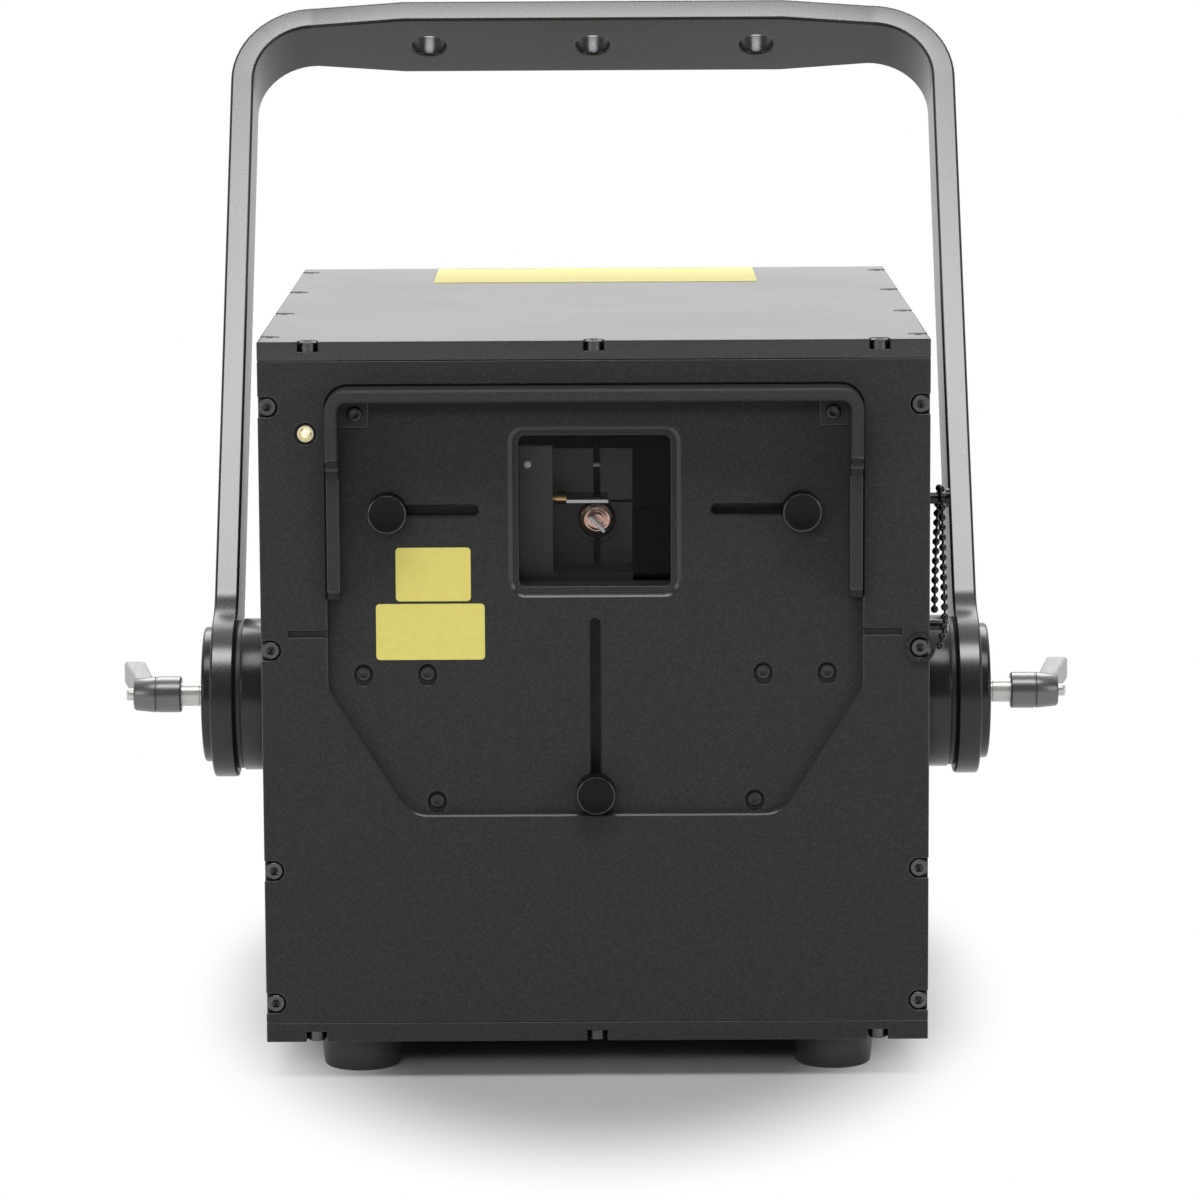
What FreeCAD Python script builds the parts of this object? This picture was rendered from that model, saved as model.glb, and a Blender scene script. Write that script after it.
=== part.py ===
import FreeCAD, Part
import math
import os
import re

import Sketcher

# Driving sizes in millimetres and degrees. Drops are measured down from the top plate's upper face,
# depths back from the front panel's face, and sideways places from the middle plane.
SIZES = {
    # Case of flat plates
    "housing_width": 205,
    "housing_height": 218,
    "housing_depth": 262,
    "housing_front": -140.95,
    "plate_thickness": 6,
    "front_thickness": 10,
    "side_thickness": 6,
    "rear_thickness": 6,
    # Feet
    "foot_height": 12,
    "foot_diameter": 26,
    "foot_tip_diameter": 23.6,
    "foot_side_inset": 28.5,
    "foot_end_inset": 23,
    "foot_recess_diameter": 12,
    "foot_recess_depth": 6,
    "foot_screw_diameter": 4,
    "foot_screw_head": 8,
    "foot_screw_head_height": 2.6,
    "foot_screw_grip": 4,
    # Socket-head screws along the plates' edges
    "screw_diameter": 3,
    "screw_head": 5.5,
    "screw_head_height": 3,
    "screw_clearance": 0.3,
    "screw_inset": 3,
    "notch_width": 6.2,
    "notch_depth": 3.2,
    "face_screw_top_inset": 20,
    "face_screw_low_inset": 12.3,
    "face_screw_second_part": 0.436,
    "face_screw_third_part": 0.752,
    "lid_screw_side_inset": 15.5,
    "lid_screw_end_inset": 15,
    # Pocket and window of the front panel
    "pocket_side_margin": 20.5,
    "pocket_drop": 13.5,
    "pocket_depth": 4,
    "pocket_shoulder_drop": 107,
    "pocket_foot_taper": 24.8,
    "pocket_foot_drop": 146.6,
    "pocket_top_radius": 7,
    "pocket_foot_radius": 10,
    "groove_drop": 90,
    "groove_length": 11,
    "groove_height": 2,
    "groove_depth": 1.2,
    "window_size": 46.5,
    "window_drop": 53,
    "window_corner": 2,
    "window_bevel": 3.25,
    "window_land": 1,
    "pocket_bevel": 0.5,
    # Hood round the window
    "hood_clearance": 0.25,
    "hood_wall": 4,
    "hood_corner_radius": 6.75,
    "hood_reach": 12,
    "hood_low_reach": 4.5,
    "hood_step_drop": 35,
    "hood_step_height": 6.5,
    "hood_end_drop": 79.3,
    "hood_end_bevel": 3,
    "hood_tab": 9,
    "hood_tab_thickness": 1.5,
    "hood_edge_round": 1.2,
    # Flat screws on the pocket's floor
    "flat_screw_head": 4.6,
    "flat_screw_head_height": 1.1,
    "floor_recess_width": 5.8,
    "floor_recess_stretch": 0.9,
    "floor_recess_depth": 1.2,
    "wing_screw_inset": 10.7,
    "inner_screw_inset": 30.4,
    "wing_screw_drop": 103,
    "low_screw_inset": 8.2,
    "low_screw_rise": 3.8,
    "hood_screw_inset": 9,
    # Sliding masks
    "side_knob_inset": 18.7,
    "side_knob_rise": 0.4,
    "side_slot_end_gap": 10.8,
    "bottom_knob_rise": 6.6,
    "bottom_slot_end_gap": 8.5,
    "slot_width": 3,
    "slot_bevel": 0.5,
    "knob_diameter": 12,
    "knob_height": 8,
    "knob_edge": 0.8,
    "knob_gap": 0.3,
    "knob_shank": 2.4,
    "shank_fit": 0.1,
    "blade_thickness": 1,
    "blade_gap": 0.3,
    "blade_height": 50,
    "blade_margin": 1.2,
    "blade_tail": 8,
    "bottom_blade_lap": 4.75,
    "nut_diameter": 7,
    "nut_height": 1.6,
    "cover_lap": 2,
    "cover_drop": 16,
    "cover_height": 135,
    "cover_thickness": 3,
    "cover_relief": 2,
    "spacer_diameter": 7,
    "glass_lap": 4,
    "glass_thickness": 2,
    # Emission lamp
    "lamp_margin": 6,
    "lamp_drop": 28.2,
    "lamp_recess": 6.7,
    "lamp_recess_depth": 1.2,
    "lamp_bezel": 5.5,
    "lamp_bezel_wall": 1.1,
    "lamp_fit": 0.1,
    "lamp_dome": 1,
    # Yoke and its pivots
    "pivot_depth": 134,
    "pivot_drop": 131,
    "flange_diameter": 50.5,
    "flange_length": 14.5,
    "disc_thickness": 1.9,
    "washer_diameter": 45,
    "washer_thickness": 3.2,
    "pivot_gap": 0.1,
    "stud_diameter": 8,
    "stud_fit": 0.1,
    "stud_clearance": 0.6,
    "stud_end_gap": 2,
    "stud_show": 8,
    "yoke_thickness": 8,
    "yoke_height": 252,
    "yoke_end_diameter": 55,
    "yoke_leg_width": 30,
    "yoke_neck_width": 27,
    "yoke_bar_width": 35,
    "yoke_bar_flat": 134,
    "yoke_bend": 21,
    "yoke_blend": 18,
    "yoke_hole": 12,
    "yoke_hole_pitch": 58,
    "yoke_tilt": 34,
    # Clamping levers
    "hub_diameter": 12,
    "hub_tip_diameter": 10.6,
    "hub_length": 15.7,
    "hub_parallel": 8,
    "hub_seam": 0.5,
    "hub_cap_diameter": 4,
    "hub_cap_length": 2.6,
    "arm_length": 45,
    "arm_rise": 7.6,
    "arm_root_width": 6.4,
    "arm_tip_width": 7.4,
    "arm_thickness": 8,
    # Bead chain and its fixings
    "chain_diameter": 2.4,
    "chain_ring_diameter": 9.4,
    "chain_ring_thickness": 0.8,
    "peg_diameter": 3.6,
    "peg_head": 6,
    "peg_length": 6.6,
    "peg_head_thickness": 1,
    "hook_depth": 13.4,
    "hook_drop": 50.6,
    "eye_depth": 21,
    "eye_drop": 91.4,
    # Scanner
    "bench_drop": 83,
    "bench_thickness": 8,
    "bench_side_gap": 1.5,
    "bench_front_depth": 22,
    "bench_back_gap": 26,
    "post_diameter": 12,
    "post_inset": 14,
    "scanner_base": 8,
    "scanner_height": 48,
    "scanner_wall_step": 3.5,
    "scanner_left": 33,
    "scanner_cheek": 13,
    "scanner_right": 11.8,
    "scanner_front_depth": 24,
    "scanner_wall_depth": 45,
    "scanner_back_depth": 72,
    "galvo_diameter": 12,
    "galvo_length": 50,
    "galvo_fit": 0.1,
    "galvo_nose": 3,
    "clamp_slit": 2.2,
    "side_slit": 1,
    "side_slit_rise": 5.8,
    "side_slit_depth": 6,
    "galvo_recess_margin": 1.5,
    "galvo_recess_depth": 3,
    "x_axis_offset": 0.7,
    "x_axis_drop": 61,
    "y_axis_drop": 52.7,
    "y_axis_depth": 35,
    "shaft_diameter": 3,
    "shaft_fit": 0.1,
    "shaft_bite": 6,
    "mirror_thickness": 1,
    "x_mirror_rest": 45,
    "y_mirror_rest": 80,
    "x_mirror_width": 6.4,
    "x_mirror_length": 8,
    "y_mirror_width": 8,
    "y_mirror_length": 13,
    "holder_diameter": 4.4,
    "holder_length": 4.2,
    # Laser modules and beam mirrors on the bench
    "laser_length": 62,
    "laser_gap": 10,
    "laser_height": 38,
    "laser_side_inset": 21,
    "laser_front_gap": 2,
    "laser_back_gap": 40,
    "laser_nose_diameter": 14,
    "laser_nose_length": 8,
    "beam_side_inset": 37,
    "mirror_base": 18,
    "mirror_post_height": 30,
    "mirror_plate": 20,
    "mirror_plate_thickness": 2,
    # Boards in the lower bay
    "supply_width": 98,
    "supply_height": 40,
    "driver_head_gap": 21,
    "driver_fin_height": 8,
    "driver_fin_thickness": 3,
    "driver_foot": 4,
    "driver_foot_depth": 12,
    "bay_side_gap": 4,
    "bay_middle_gap": 17,
    "bay_post_gap": 4,
    "board_thickness": 1.6,
    "board_width": 60,
    "board_height": 62,
    "board_parts_height": 7,
    # Fan and rear fittings
    "fan_size": 80,
    "fan_depth": 20,
    "fan_wall": 2,
    "fan_side_gap": 2,
    "fan_height": 73,
    "fan_hub": 34,
    "fan_blade_gap": 1,
    "fan_blade_thickness": 1.4,
    "fan_blade_pitch": 32,
    "fan_shaft": 5,
    "fan_shaft_fit": 0.1,
    "fan_strut": 5,
    "vent_slot": 4,
    "inlet_side_inset": 36.5,
    "inlet_height": 44,
    "inlet_width": 27,
    "inlet_tall": 20,
    "inlet_flange": 3,
    "inlet_flange_thickness": 2,
    "inlet_length": 26,
    "socket_side_inset": 50.5,
    "socket_low_height": 92,
    "socket_pitch": 24,
    "socket_width": 39,
    "socket_tall": 8.4,
    "socket_flange_width": 53,
    "socket_flange_tall": 12.4,
    "socket_flange_thickness": 1,
    "socket_reach": 5.8,
    "socket_length": 11,
    "interlock_pitch": 32,
    "interlock_height": 44,
    "interlock_diameter": 14,
    "key_side_inset": 40.5,
    "key_drop": 52,
    "key_barrel": 19,
    "key_flange": 23,
    "key_flange_thickness": 2.5,
    "key_barrel_length": 22,
    "key_slot_depth": 9,
    "key_thickness": 2,
    "key_clearance": 0.3,
    "key_stem": 6,
    "key_bow": 21,
    "fitting_clearance": 0.2,
    # Air inlet under the case
    "inlet_slot_length": 46,
    "inlet_slot_width": 4,
    "inlet_slot_pitch": 11,
    "inlet_slot_depth": 92,
    "inlet_slot_side_inset": 42.5,
}

# Places worked out from the sizes, written as formulas so that they follow any change.
PLACES = {
    "half_width": "(housing_width / 2)",
    "top_z": "(foot_height + housing_height)",
    "inner_low": "(foot_height + plate_thickness)",
    "inner_high": "(top_z - plate_thickness)",
    "back_y": "(housing_front + housing_depth)",
    "rear_inner_y": "(back_y - rear_thickness)",
    "floor_y": "(housing_front + pocket_depth)",
    "panel_back_y": "(housing_front + front_thickness)",
    "side_inner": "(half_width - side_thickness)",
    "screw_x": "(half_width - screw_inset)",
    "screw_hole": "(screw_diameter + screw_clearance)",
    "second_screw_drop": "(housing_height * face_screw_second_part)",
    "lid_screw_x": "(half_width - lid_screw_side_inset)",
    "window_z": "(top_z - window_drop)",
    "pocket_half": "(half_width - pocket_side_margin)",
    "pocket_foot_half": "(pocket_half - pocket_foot_taper)",
    "lamp_x": "(pocket_half + lamp_margin)",
    "hood_half": "(pocket_half - hood_clearance)",
    "hood_top": "(top_z - pocket_drop - hood_clearance)",
    "hood_end": "(top_z - hood_end_drop)",
    "hood_front_y": "(housing_front - hood_reach)",
    "hood_screw_x": "(pocket_half - hood_screw_inset)",
    "hood_screw_z": "(top_z - pocket_drop - hood_screw_inset)",
    "blade_pitch": "(blade_thickness + blade_gap)",
    "cover_y": "(panel_back_y + blade_gap + 3 * blade_pitch)",
    "cover_back_y": "(cover_y + cover_thickness)",
    "side_knob_x": "(pocket_half - side_knob_inset)",
    "side_knob_z": "(window_z + side_knob_rise)",
    "side_travel": "(side_knob_x - window_size / 2 - window_bevel - side_slot_end_gap)",
    "bottom_knob_z": "(top_z - pocket_foot_drop + bottom_knob_rise)",
    "bottom_travel": "(window_z - window_size / 2 - window_bevel - bottom_slot_end_gap - bottom_knob_z)",
    "cover_half": "(pocket_half + cover_lap)",
    "bottom_blade_half": "(window_size / 2 + bottom_blade_lap)",
    "pivot_y": "(housing_front + pivot_depth)",
    "pivot_z": "(top_z - pivot_drop)",
    "disc_x": "(half_width + flange_length)",
    "yoke_inner": "(disc_x + disc_thickness + pivot_gap)",
    "yoke_outer": "(yoke_inner + yoke_thickness)",
    "washer_x": "yoke_outer",
    "hub_x": "(washer_x + washer_thickness + stud_show)",
    "bench_top": "(top_z - bench_drop)",
    "bench_z": "(bench_top - bench_thickness)",
    "bench_front_y": "(housing_front + bench_front_depth)",
    "bench_back_y": "(back_y - bench_back_gap)",
    "bay_front_y": "(bench_front_y + post_inset + post_diameter / 2 + bay_post_gap)",
    "bay_back_y": "(bench_back_y - post_inset - post_diameter / 2 - bay_post_gap)",
    "bay_left": "(-side_inner + bay_side_gap)",
    "bay_right": "(side_inner - bay_side_gap)",
    "driver_left": "(bay_left + supply_width + bay_middle_gap)",
    "laser_start_depth": "(scanner_wall_depth + galvo_length + galvo_nose + laser_front_gap)",
    "laser_pitch": "((housing_depth - laser_start_depth - laser_back_gap + laser_gap) / 3)",
    "laser_width": "(laser_pitch - laser_gap)",
    "laser_first_y": "(housing_front + laser_start_depth + laser_width / 2)",
    "laser_x": "(-bench_half + laser_side_inset)",
    "scanner_floor": "(bench_top + scanner_base)",
    "scanner_top": "(bench_top + scanner_height)",
    "x_axis_z": "(top_z - x_axis_drop)",
    "y_axis_z": "(top_z - y_axis_drop)",
    "y_axis_y": "(housing_front + y_axis_depth)",
    "wall_y": "(housing_front + scanner_wall_depth)",
    "fan_y": "(rear_inner_y - fan_depth)",
    "fan_x": "(-side_inner + fan_side_gap + fan_size / 2)",
    "fan_bore": "(fan_size - 2 * fan_wall)",
    "vent_pitch": "((fan_bore - vent_slot) / 9)",
    "inlet_x": "(half_width - inlet_side_inset)",
    "interlock_x": "(inlet_x - interlock_pitch)",
    "socket_x": "(half_width - socket_side_inset)",
    "key_x": "(half_width - key_side_inset)",
    "key_z": "(top_z - key_drop)",
    "inlet_slot_x": "(half_width - inlet_slot_side_inset)",
    "bench_half": "(side_inner - bench_side_gap)",
}

WORD = re.compile(r"[a-z][a-z_]*")
SIDES = (("left", "-"), ("right", ""))

doc = FreeCAD.newDocument("laser_show_projector")
sheet = doc.addObject("Spreadsheet::Sheet", "Sizes")
sub_parts = []


def fill_sheet():
    """Write each driving size into its own named cell."""
    for row, (name, amount) in enumerate(SIZES.items(), start=1):
        sheet.set("A%d" % row, name)
        sheet.set("B%d" % row, str(amount))
        sheet.setAlias("B%d" % row, name)
    doc.recompute()


def link(formula):
    """Turn the names in a formula into the sheet's cells."""
    def swap(found):
        word = found.group()
        if word in PLACES:
            return link(PLACES[word])
        return "Sizes." + word if word in SIZES else word
    return WORD.sub(swap, formula)


def number(formula):
    """Work a formula out."""
    return float(sheet.evalExpression(link(formula)))


def bind(thing, **formulas):
    """Tie properties of an object to formulas."""
    for name, formula in formulas.items():
        thing.setExpression(name, link(formula))


def place(thing, across="0", back="0", up="0", axis=(0, 0, 1), turn="0"):
    """Tie an object's place to formulas, turned about one axis."""
    turned = FreeCAD.Rotation(FreeCAD.Vector(*axis), number(turn))
    spot = FreeCAD.Vector(number(across), number(back), number(up))
    thing.Placement = FreeCAD.Placement(spot, turned)
    for letter, formula in zip("xyz", (across, back, up)):
        thing.setExpression("Placement.Base." + letter, link(formula))
    if turn != "0":
        thing.setExpression("Placement.Rotation.Angle", link(turn))


def sub_part(thing, label):
    """Name a finished sub-part and put it on the list."""
    thing.Label = label
    sub_parts.append(thing)
    return thing


def new_body(name):
    return doc.addObject("PartDesign::Body", name)


def sketch_on(body, role, offset="0"):
    """Sketch on one of the body's own planes: XY faces up, XZ faces the front, YZ faces right."""
    sketch = body.newObject("Sketcher::SketchObject", body.Name + "_sketch")
    plane = [item for item in body.Origin.OriginFeatures if item.Role == role][0]
    sketch.AttachmentSupport = [(plane, "")]
    sketch.MapMode = "FlatFace"
    sketch.setExpression("AttachmentOffset.Base.z", link(offset))
    return sketch


def front_sketch(body, back):
    """Sketch seen from the front, at one place along the depth."""
    return sketch_on(body, "XZ_Plane", "-(%s)" % back)


def tie(sketch, kind, formula, *where):
    """Add one measured constraint bound to a formula."""
    index = sketch.addConstraint(Sketcher.Constraint(kind, *where, number(formula)))
    sketch.setExpression("Constraints[%d]" % index, link(formula))


def pin_point(sketch, item, point, across, along):
    """Tie a point to the sketch's origin: 1 is an item's start, 2 its end and 3 its centre."""
    tie(sketch, "DistanceX", across, -1, 1, item, point)
    tie(sketch, "DistanceY", along, -1, 1, item, point)


def flat(across, along):
    return FreeCAD.Vector(number(across), number(along), 0)


def outline(sketch, corners):
    """Closed run of straight lines through corners that are each tied to formulas."""
    spots = [flat(*corner) for corner in corners]
    lines = [sketch.addGeometry(Part.LineSegment(start, end), False)
             for start, end in zip(spots, spots[1:] + spots[:1])]
    for line, following in zip(lines, lines[1:] + lines[:1]):
        sketch.addConstraint(Sketcher.Constraint("Coincident", line, 2, following, 1))
    for line, corner in zip(lines, corners):
        pin_point(sketch, line, 1, *corner)


def rectangle(sketch, left, right, low, high):
    outline(sketch, [(left, low), (right, low), (right, high), (left, high)])


def centred(sketch, across, along, width, height):
    rectangle(sketch, "%s - %s / 2" % (across, width), "%s + %s / 2" % (across, width),
              "%s - %s / 2" % (along, height), "%s + %s / 2" % (along, height))


def circle(sketch, across, along, diameter):
    ring = Part.Circle(flat(across, along), FreeCAD.Vector(0, 0, 1), number(diameter) / 2)
    item = sketch.addGeometry(ring, False)
    pin_point(sketch, item, 3, across, along)
    tie(sketch, "Radius", "%s / 2" % diameter, item)


def arc(middle, radius, start, end):
    return Part.ArcOfCircle(Part.Circle(middle, FreeCAD.Vector(0, 0, 1), radius), start, end)


def slot(sketch, start, end, width):
    """Slot with round ends about two tied points."""
    first, second = flat(*start), flat(*end)
    radius = number(width) / 2
    way = math.atan2(second.y - first.y, second.x - first.x)
    quarter = math.pi / 2
    side = FreeCAD.Vector(-math.sin(way), math.cos(way), 0) * radius
    near = sketch.addGeometry(arc(first, radius, way + quarter, way + 3 * quarter), False)
    under = sketch.addGeometry(Part.LineSegment(first - side, second - side), False)
    far = sketch.addGeometry(arc(second, radius, way - quarter, way + quarter), False)
    over = sketch.addGeometry(Part.LineSegment(second + side, first + side), False)
    ring = (near, under, far, over)
    for item, following in zip(ring, ring[1:] + ring[:1]):
        sketch.addConstraint(Sketcher.Constraint("Tangent", item, 2, following, 1))
    sketch.addConstraint(Sketcher.Constraint("Equal", near, far))
    pin_point(sketch, near, 3, *start)
    pin_point(sketch, far, 3, *end)
    tie(sketch, "Radius", "%s / 2" % width, near)


def pad(body, sketch, length, backwards=False):
    feature = body.newObject("PartDesign::Pad", sketch.Name + "_pad")
    feature.Profile = sketch
    feature.Reversed = backwards
    bind(feature, Length=length)
    return feature


def pocket(body, sketch, length=None, backwards=False):
    """Cut a sketch into the body, and make sure that it took something away."""
    doc.recompute()
    before = body.Tip.Shape.Volume
    feature = body.newObject("PartDesign::Pocket", sketch.Name + "_pocket")
    feature.Profile = sketch
    feature.Reversed = backwards
    if length is None:
        feature.Type = "ThroughAll"
    else:
        bind(feature, Length=length)
    doc.recompute()
    if not feature.Shape.Volume < before:
        raise RuntimeError("pocket %s cuts nothing" % feature.Name)
    return feature


def turned_body(name, profile):
    """Body turned about its upright axis from (radius, height) corners."""
    body = new_body(name)
    sketch = sketch_on(body, "XZ_Plane")
    outline(sketch, profile)
    feature = body.newObject("PartDesign::Revolution", name + "_turn")
    feature.Profile = sketch
    feature.ReferenceAxis = (sketch, ["V_Axis"])
    feature.Angle = 360
    return body


def edges_where(shape, test):
    return ["Edge%d" % (index + 1) for index, edge in enumerate(shape.Edges) if test(edge)]


def ease(body, kind, formula, test, second=None):
    """Fillet or chamfer the body's edges that pass a test. A chamfer may have a second size of its own."""
    doc.recompute()
    base = body.Tip
    chosen = edges_where(base.Shape, test)
    if not chosen:
        raise RuntimeError("no edge to ease on " + body.Name)
    feature = body.newObject("PartDesign::" + kind, body.Name + "_" + kind.lower())
    feature.Base = (base, chosen)
    bind(feature, **{"Radius" if kind == "Fillet" else "Size": formula})
    if second is not None:
        feature.ChamferType = "Two distances"
        bind(feature, Size2=second)
    doc.recompute()
    return feature


def close(one, other):
    return abs(one - other) < 1e-4


def straight_along(edge, way):
    """Whether an edge is a straight line along a row axis."""
    if edge.Curve.TypeId != "Part::GeomLine":
        return False
    return abs(abs(edge.Curve.Direction.dot(FreeCAD.Vector(*way))) - 1) < 1e-6


def at_corner(corners, way=(0, 1, 0)):
    """Test for edges along the depth that stand at given (across, up) corners."""
    spots = [(number(across), number(up)) for across, up in corners]

    def test(edge):
        middle = edge.CenterOfMass
        return straight_along(edge, way) and any(
            close(middle.x, across) and close(middle.z, up) for across, up in spots)
    return test


def group(label, shapes):
    """One sub-part that holds several separate solids."""
    feature = doc.addObject("Part::Feature", label)
    feature.Shape = Part.makeCompound(shapes)
    return sub_part(feature, label)


def copies(master, spots, axis=(0, 0, 1), angle=0):
    """Copies of a master body's solid, turned and set at each spot."""
    doc.recompute()
    turned = FreeCAD.Rotation(FreeCAD.Vector(*axis), angle)
    made = []
    for spot in spots:
        solid = master.Shape.copy()
        solid.Placement = FreeCAD.Placement(spot, turned)
        made.append(solid)
    return made


def vector(across, back, up):
    return FreeCAD.Vector(number(across), number(back), number(up))


def face_screw_spots():
    """Places of the screws along the upright edges of the front and rear panels."""
    drops = ("face_screw_top_inset", "second_screw_drop", "housing_height * face_screw_third_part",
             "(housing_height - face_screw_low_inset)")
    return [(sign + "screw_x", "top_z - " + drop, sign + "(half_width + notch_width)")
            for _, sign in SIDES for drop in drops]


def lid_screw_spots():
    """Places of the screws along the top and bottom plates: place, then the notch's open end."""
    front = "(housing_front + screw_inset)"
    spots = [((across, front), (across, "housing_front - notch_width"))
             for across in ("-lid_screw_x", "0", "lid_screw_x")]
    step = "(housing_depth - 2 * lid_screw_end_inset) / 3"
    for _, sign in SIDES:
        for count in range(4):
            back = "housing_front + lid_screw_end_inset + %d * %s" % (count, step)
            spots.append(((sign + "screw_x", back), (sign + "(half_width + notch_width)", back)))
    return spots


def cut_screw_notches(body, new_sketch, spots, backwards=False):
    """Open notches for the screw heads and clearance holes for the shanks."""
    notches = new_sketch()
    for spot, mouth in spots:
        slot(notches, spot, mouth, "notch_width")
    pocket(body, notches, "notch_depth", backwards)
    holes = new_sketch()
    for spot, _ in spots:
        circle(holes, spot[0], spot[1], "screw_hole")
    pocket(body, holes, None, backwards)


def make_front_panel():
    body = new_body("front_panel")

    def face():
        return front_sketch(body, "housing_front")

    plate = face()
    rectangle(plate, "-half_width", "half_width", "inner_low", "inner_high")
    pad(body, plate, "front_thickness", backwards=True)
    recess = face()
    top_corners = [("-pocket_half", "top_z - pocket_drop"), ("pocket_half", "top_z - pocket_drop")]
    foot_corners = [("pocket_foot_half", "top_z - pocket_foot_drop"),
                    ("-pocket_foot_half", "top_z - pocket_foot_drop")]
    shoulders = [("pocket_half", "top_z - pocket_shoulder_drop"),
                 ("-pocket_half", "top_z - pocket_shoulder_drop")]
    outline(recess, top_corners + shoulders[:1] + foot_corners + shoulders[1:])
    pocket(body, recess, "pocket_depth")
    ease(body, "Fillet", "pocket_top_radius", at_corner(top_corners))
    ease(body, "Fillet", "pocket_foot_radius", at_corner(foot_corners + shoulders))
    front = number("housing_front")
    pocket_reach = number("pocket_half") + 1e-3

    def rims_pocket(edge):
        box = edge.BoundBox
        return close(box.YMin, front) and close(box.YMax, front) and max(-box.XMin, box.XMax) < pocket_reach

    ease(body, "Chamfer", "pocket_bevel", rims_pocket)
    grooves = face()
    for _, sign in SIDES:
        centred(grooves, sign + "(pocket_half + groove_length / 2)", "(top_z - groove_drop)",
                "(groove_length + groove_height)", "groove_height")
    pocket(body, grooves, "groove_depth")
    window = face()
    centred(window, "0", "window_z", "window_size", "window_size")
    pocket(body, window)
    half = number("window_size") / 2
    middle = number("window_z")
    window_corners = [("%swindow_size / 2" % side, "window_z %s window_size / 2" % rise)
                      for side in ("", "-") for rise in "+-"]
    ease(body, "Fillet", "window_corner", at_corner(window_corners))
    floor = number("floor_y")

    def rims_window(edge):
        box = edge.BoundBox
        inside = max(abs(box.XMin), abs(box.XMax)) < half + 1e-3
        level = max(abs(box.ZMin - middle), abs(box.ZMax - middle)) < half + 1e-3
        return close(box.YMin, floor) and close(box.YMax, floor) and inside and level

    ease(body, "Chamfer", "front_thickness - pocket_depth - window_land", rims_window, "window_bevel")
    slots = face()
    for _, sign in SIDES:
        slot(slots, (sign + "side_knob_x", "side_knob_z"),
             (sign + "(side_knob_x - side_travel)", "side_knob_z"), "slot_width")
    slot(slots, ("0", "bottom_knob_z"), ("0", "bottom_knob_z + bottom_travel"), "slot_width")
    pocket(body, slots)
    slot_reach = number("slot_width / 2") + 1e-3
    side_level = number("side_knob_z")

    def rims_slot(edge):
        box = edge.BoundBox
        upright = max(-box.XMin, box.XMax) < slot_reach
        level = max(side_level - box.ZMin, box.ZMax - side_level) < slot_reach
        return close(box.YMin, floor) and close(box.YMax, floor) and (upright or level)

    ease(body, "Chamfer", "slot_bevel", rims_slot)
    recesses = face()
    for across, drop in floor_screw_spots():
        slot(recesses, (across, "top_z - %s" % drop), (across, "top_z - %s - floor_recess_stretch" % drop),
             "floor_recess_width")
    pocket(body, recesses, "pocket_depth + floor_recess_depth")
    holes = face()
    for across, drop in floor_screw_spots():
        circle(holes, across, "top_z - %s" % drop, "screw_hole")
    for _, sign in SIDES:
        circle(holes, sign + "hood_screw_x", "hood_screw_z", "screw_hole")
    circle(holes, "-lamp_x", "top_z - lamp_drop", "(lamp_bezel - lamp_bezel_wall + lamp_fit)")
    pocket(body, holes)
    lamp = face()
    circle(lamp, "-lamp_x", "top_z - lamp_drop", "lamp_recess")
    pocket(body, lamp, "lamp_recess_depth")
    spots = [((across, up), (mouth, up)) for across, up, mouth in face_screw_spots()]
    cut_screw_notches(body, face, spots)
    sub_part(body, "front_panel")


def floor_screw_spots():
    """Screws on the pocket's floor, which hold the keeper plate behind the blades."""
    spots = []
    for _, sign in SIDES:
        spots.append((sign + "(pocket_half - wing_screw_inset)", "wing_screw_drop"))
        spots.append((sign + "(pocket_half - inner_screw_inset)", "wing_screw_drop"))
        spots.append((sign + "(pocket_foot_half - low_screw_inset)", "(pocket_foot_drop - low_screw_rise)"))
    return spots


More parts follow.
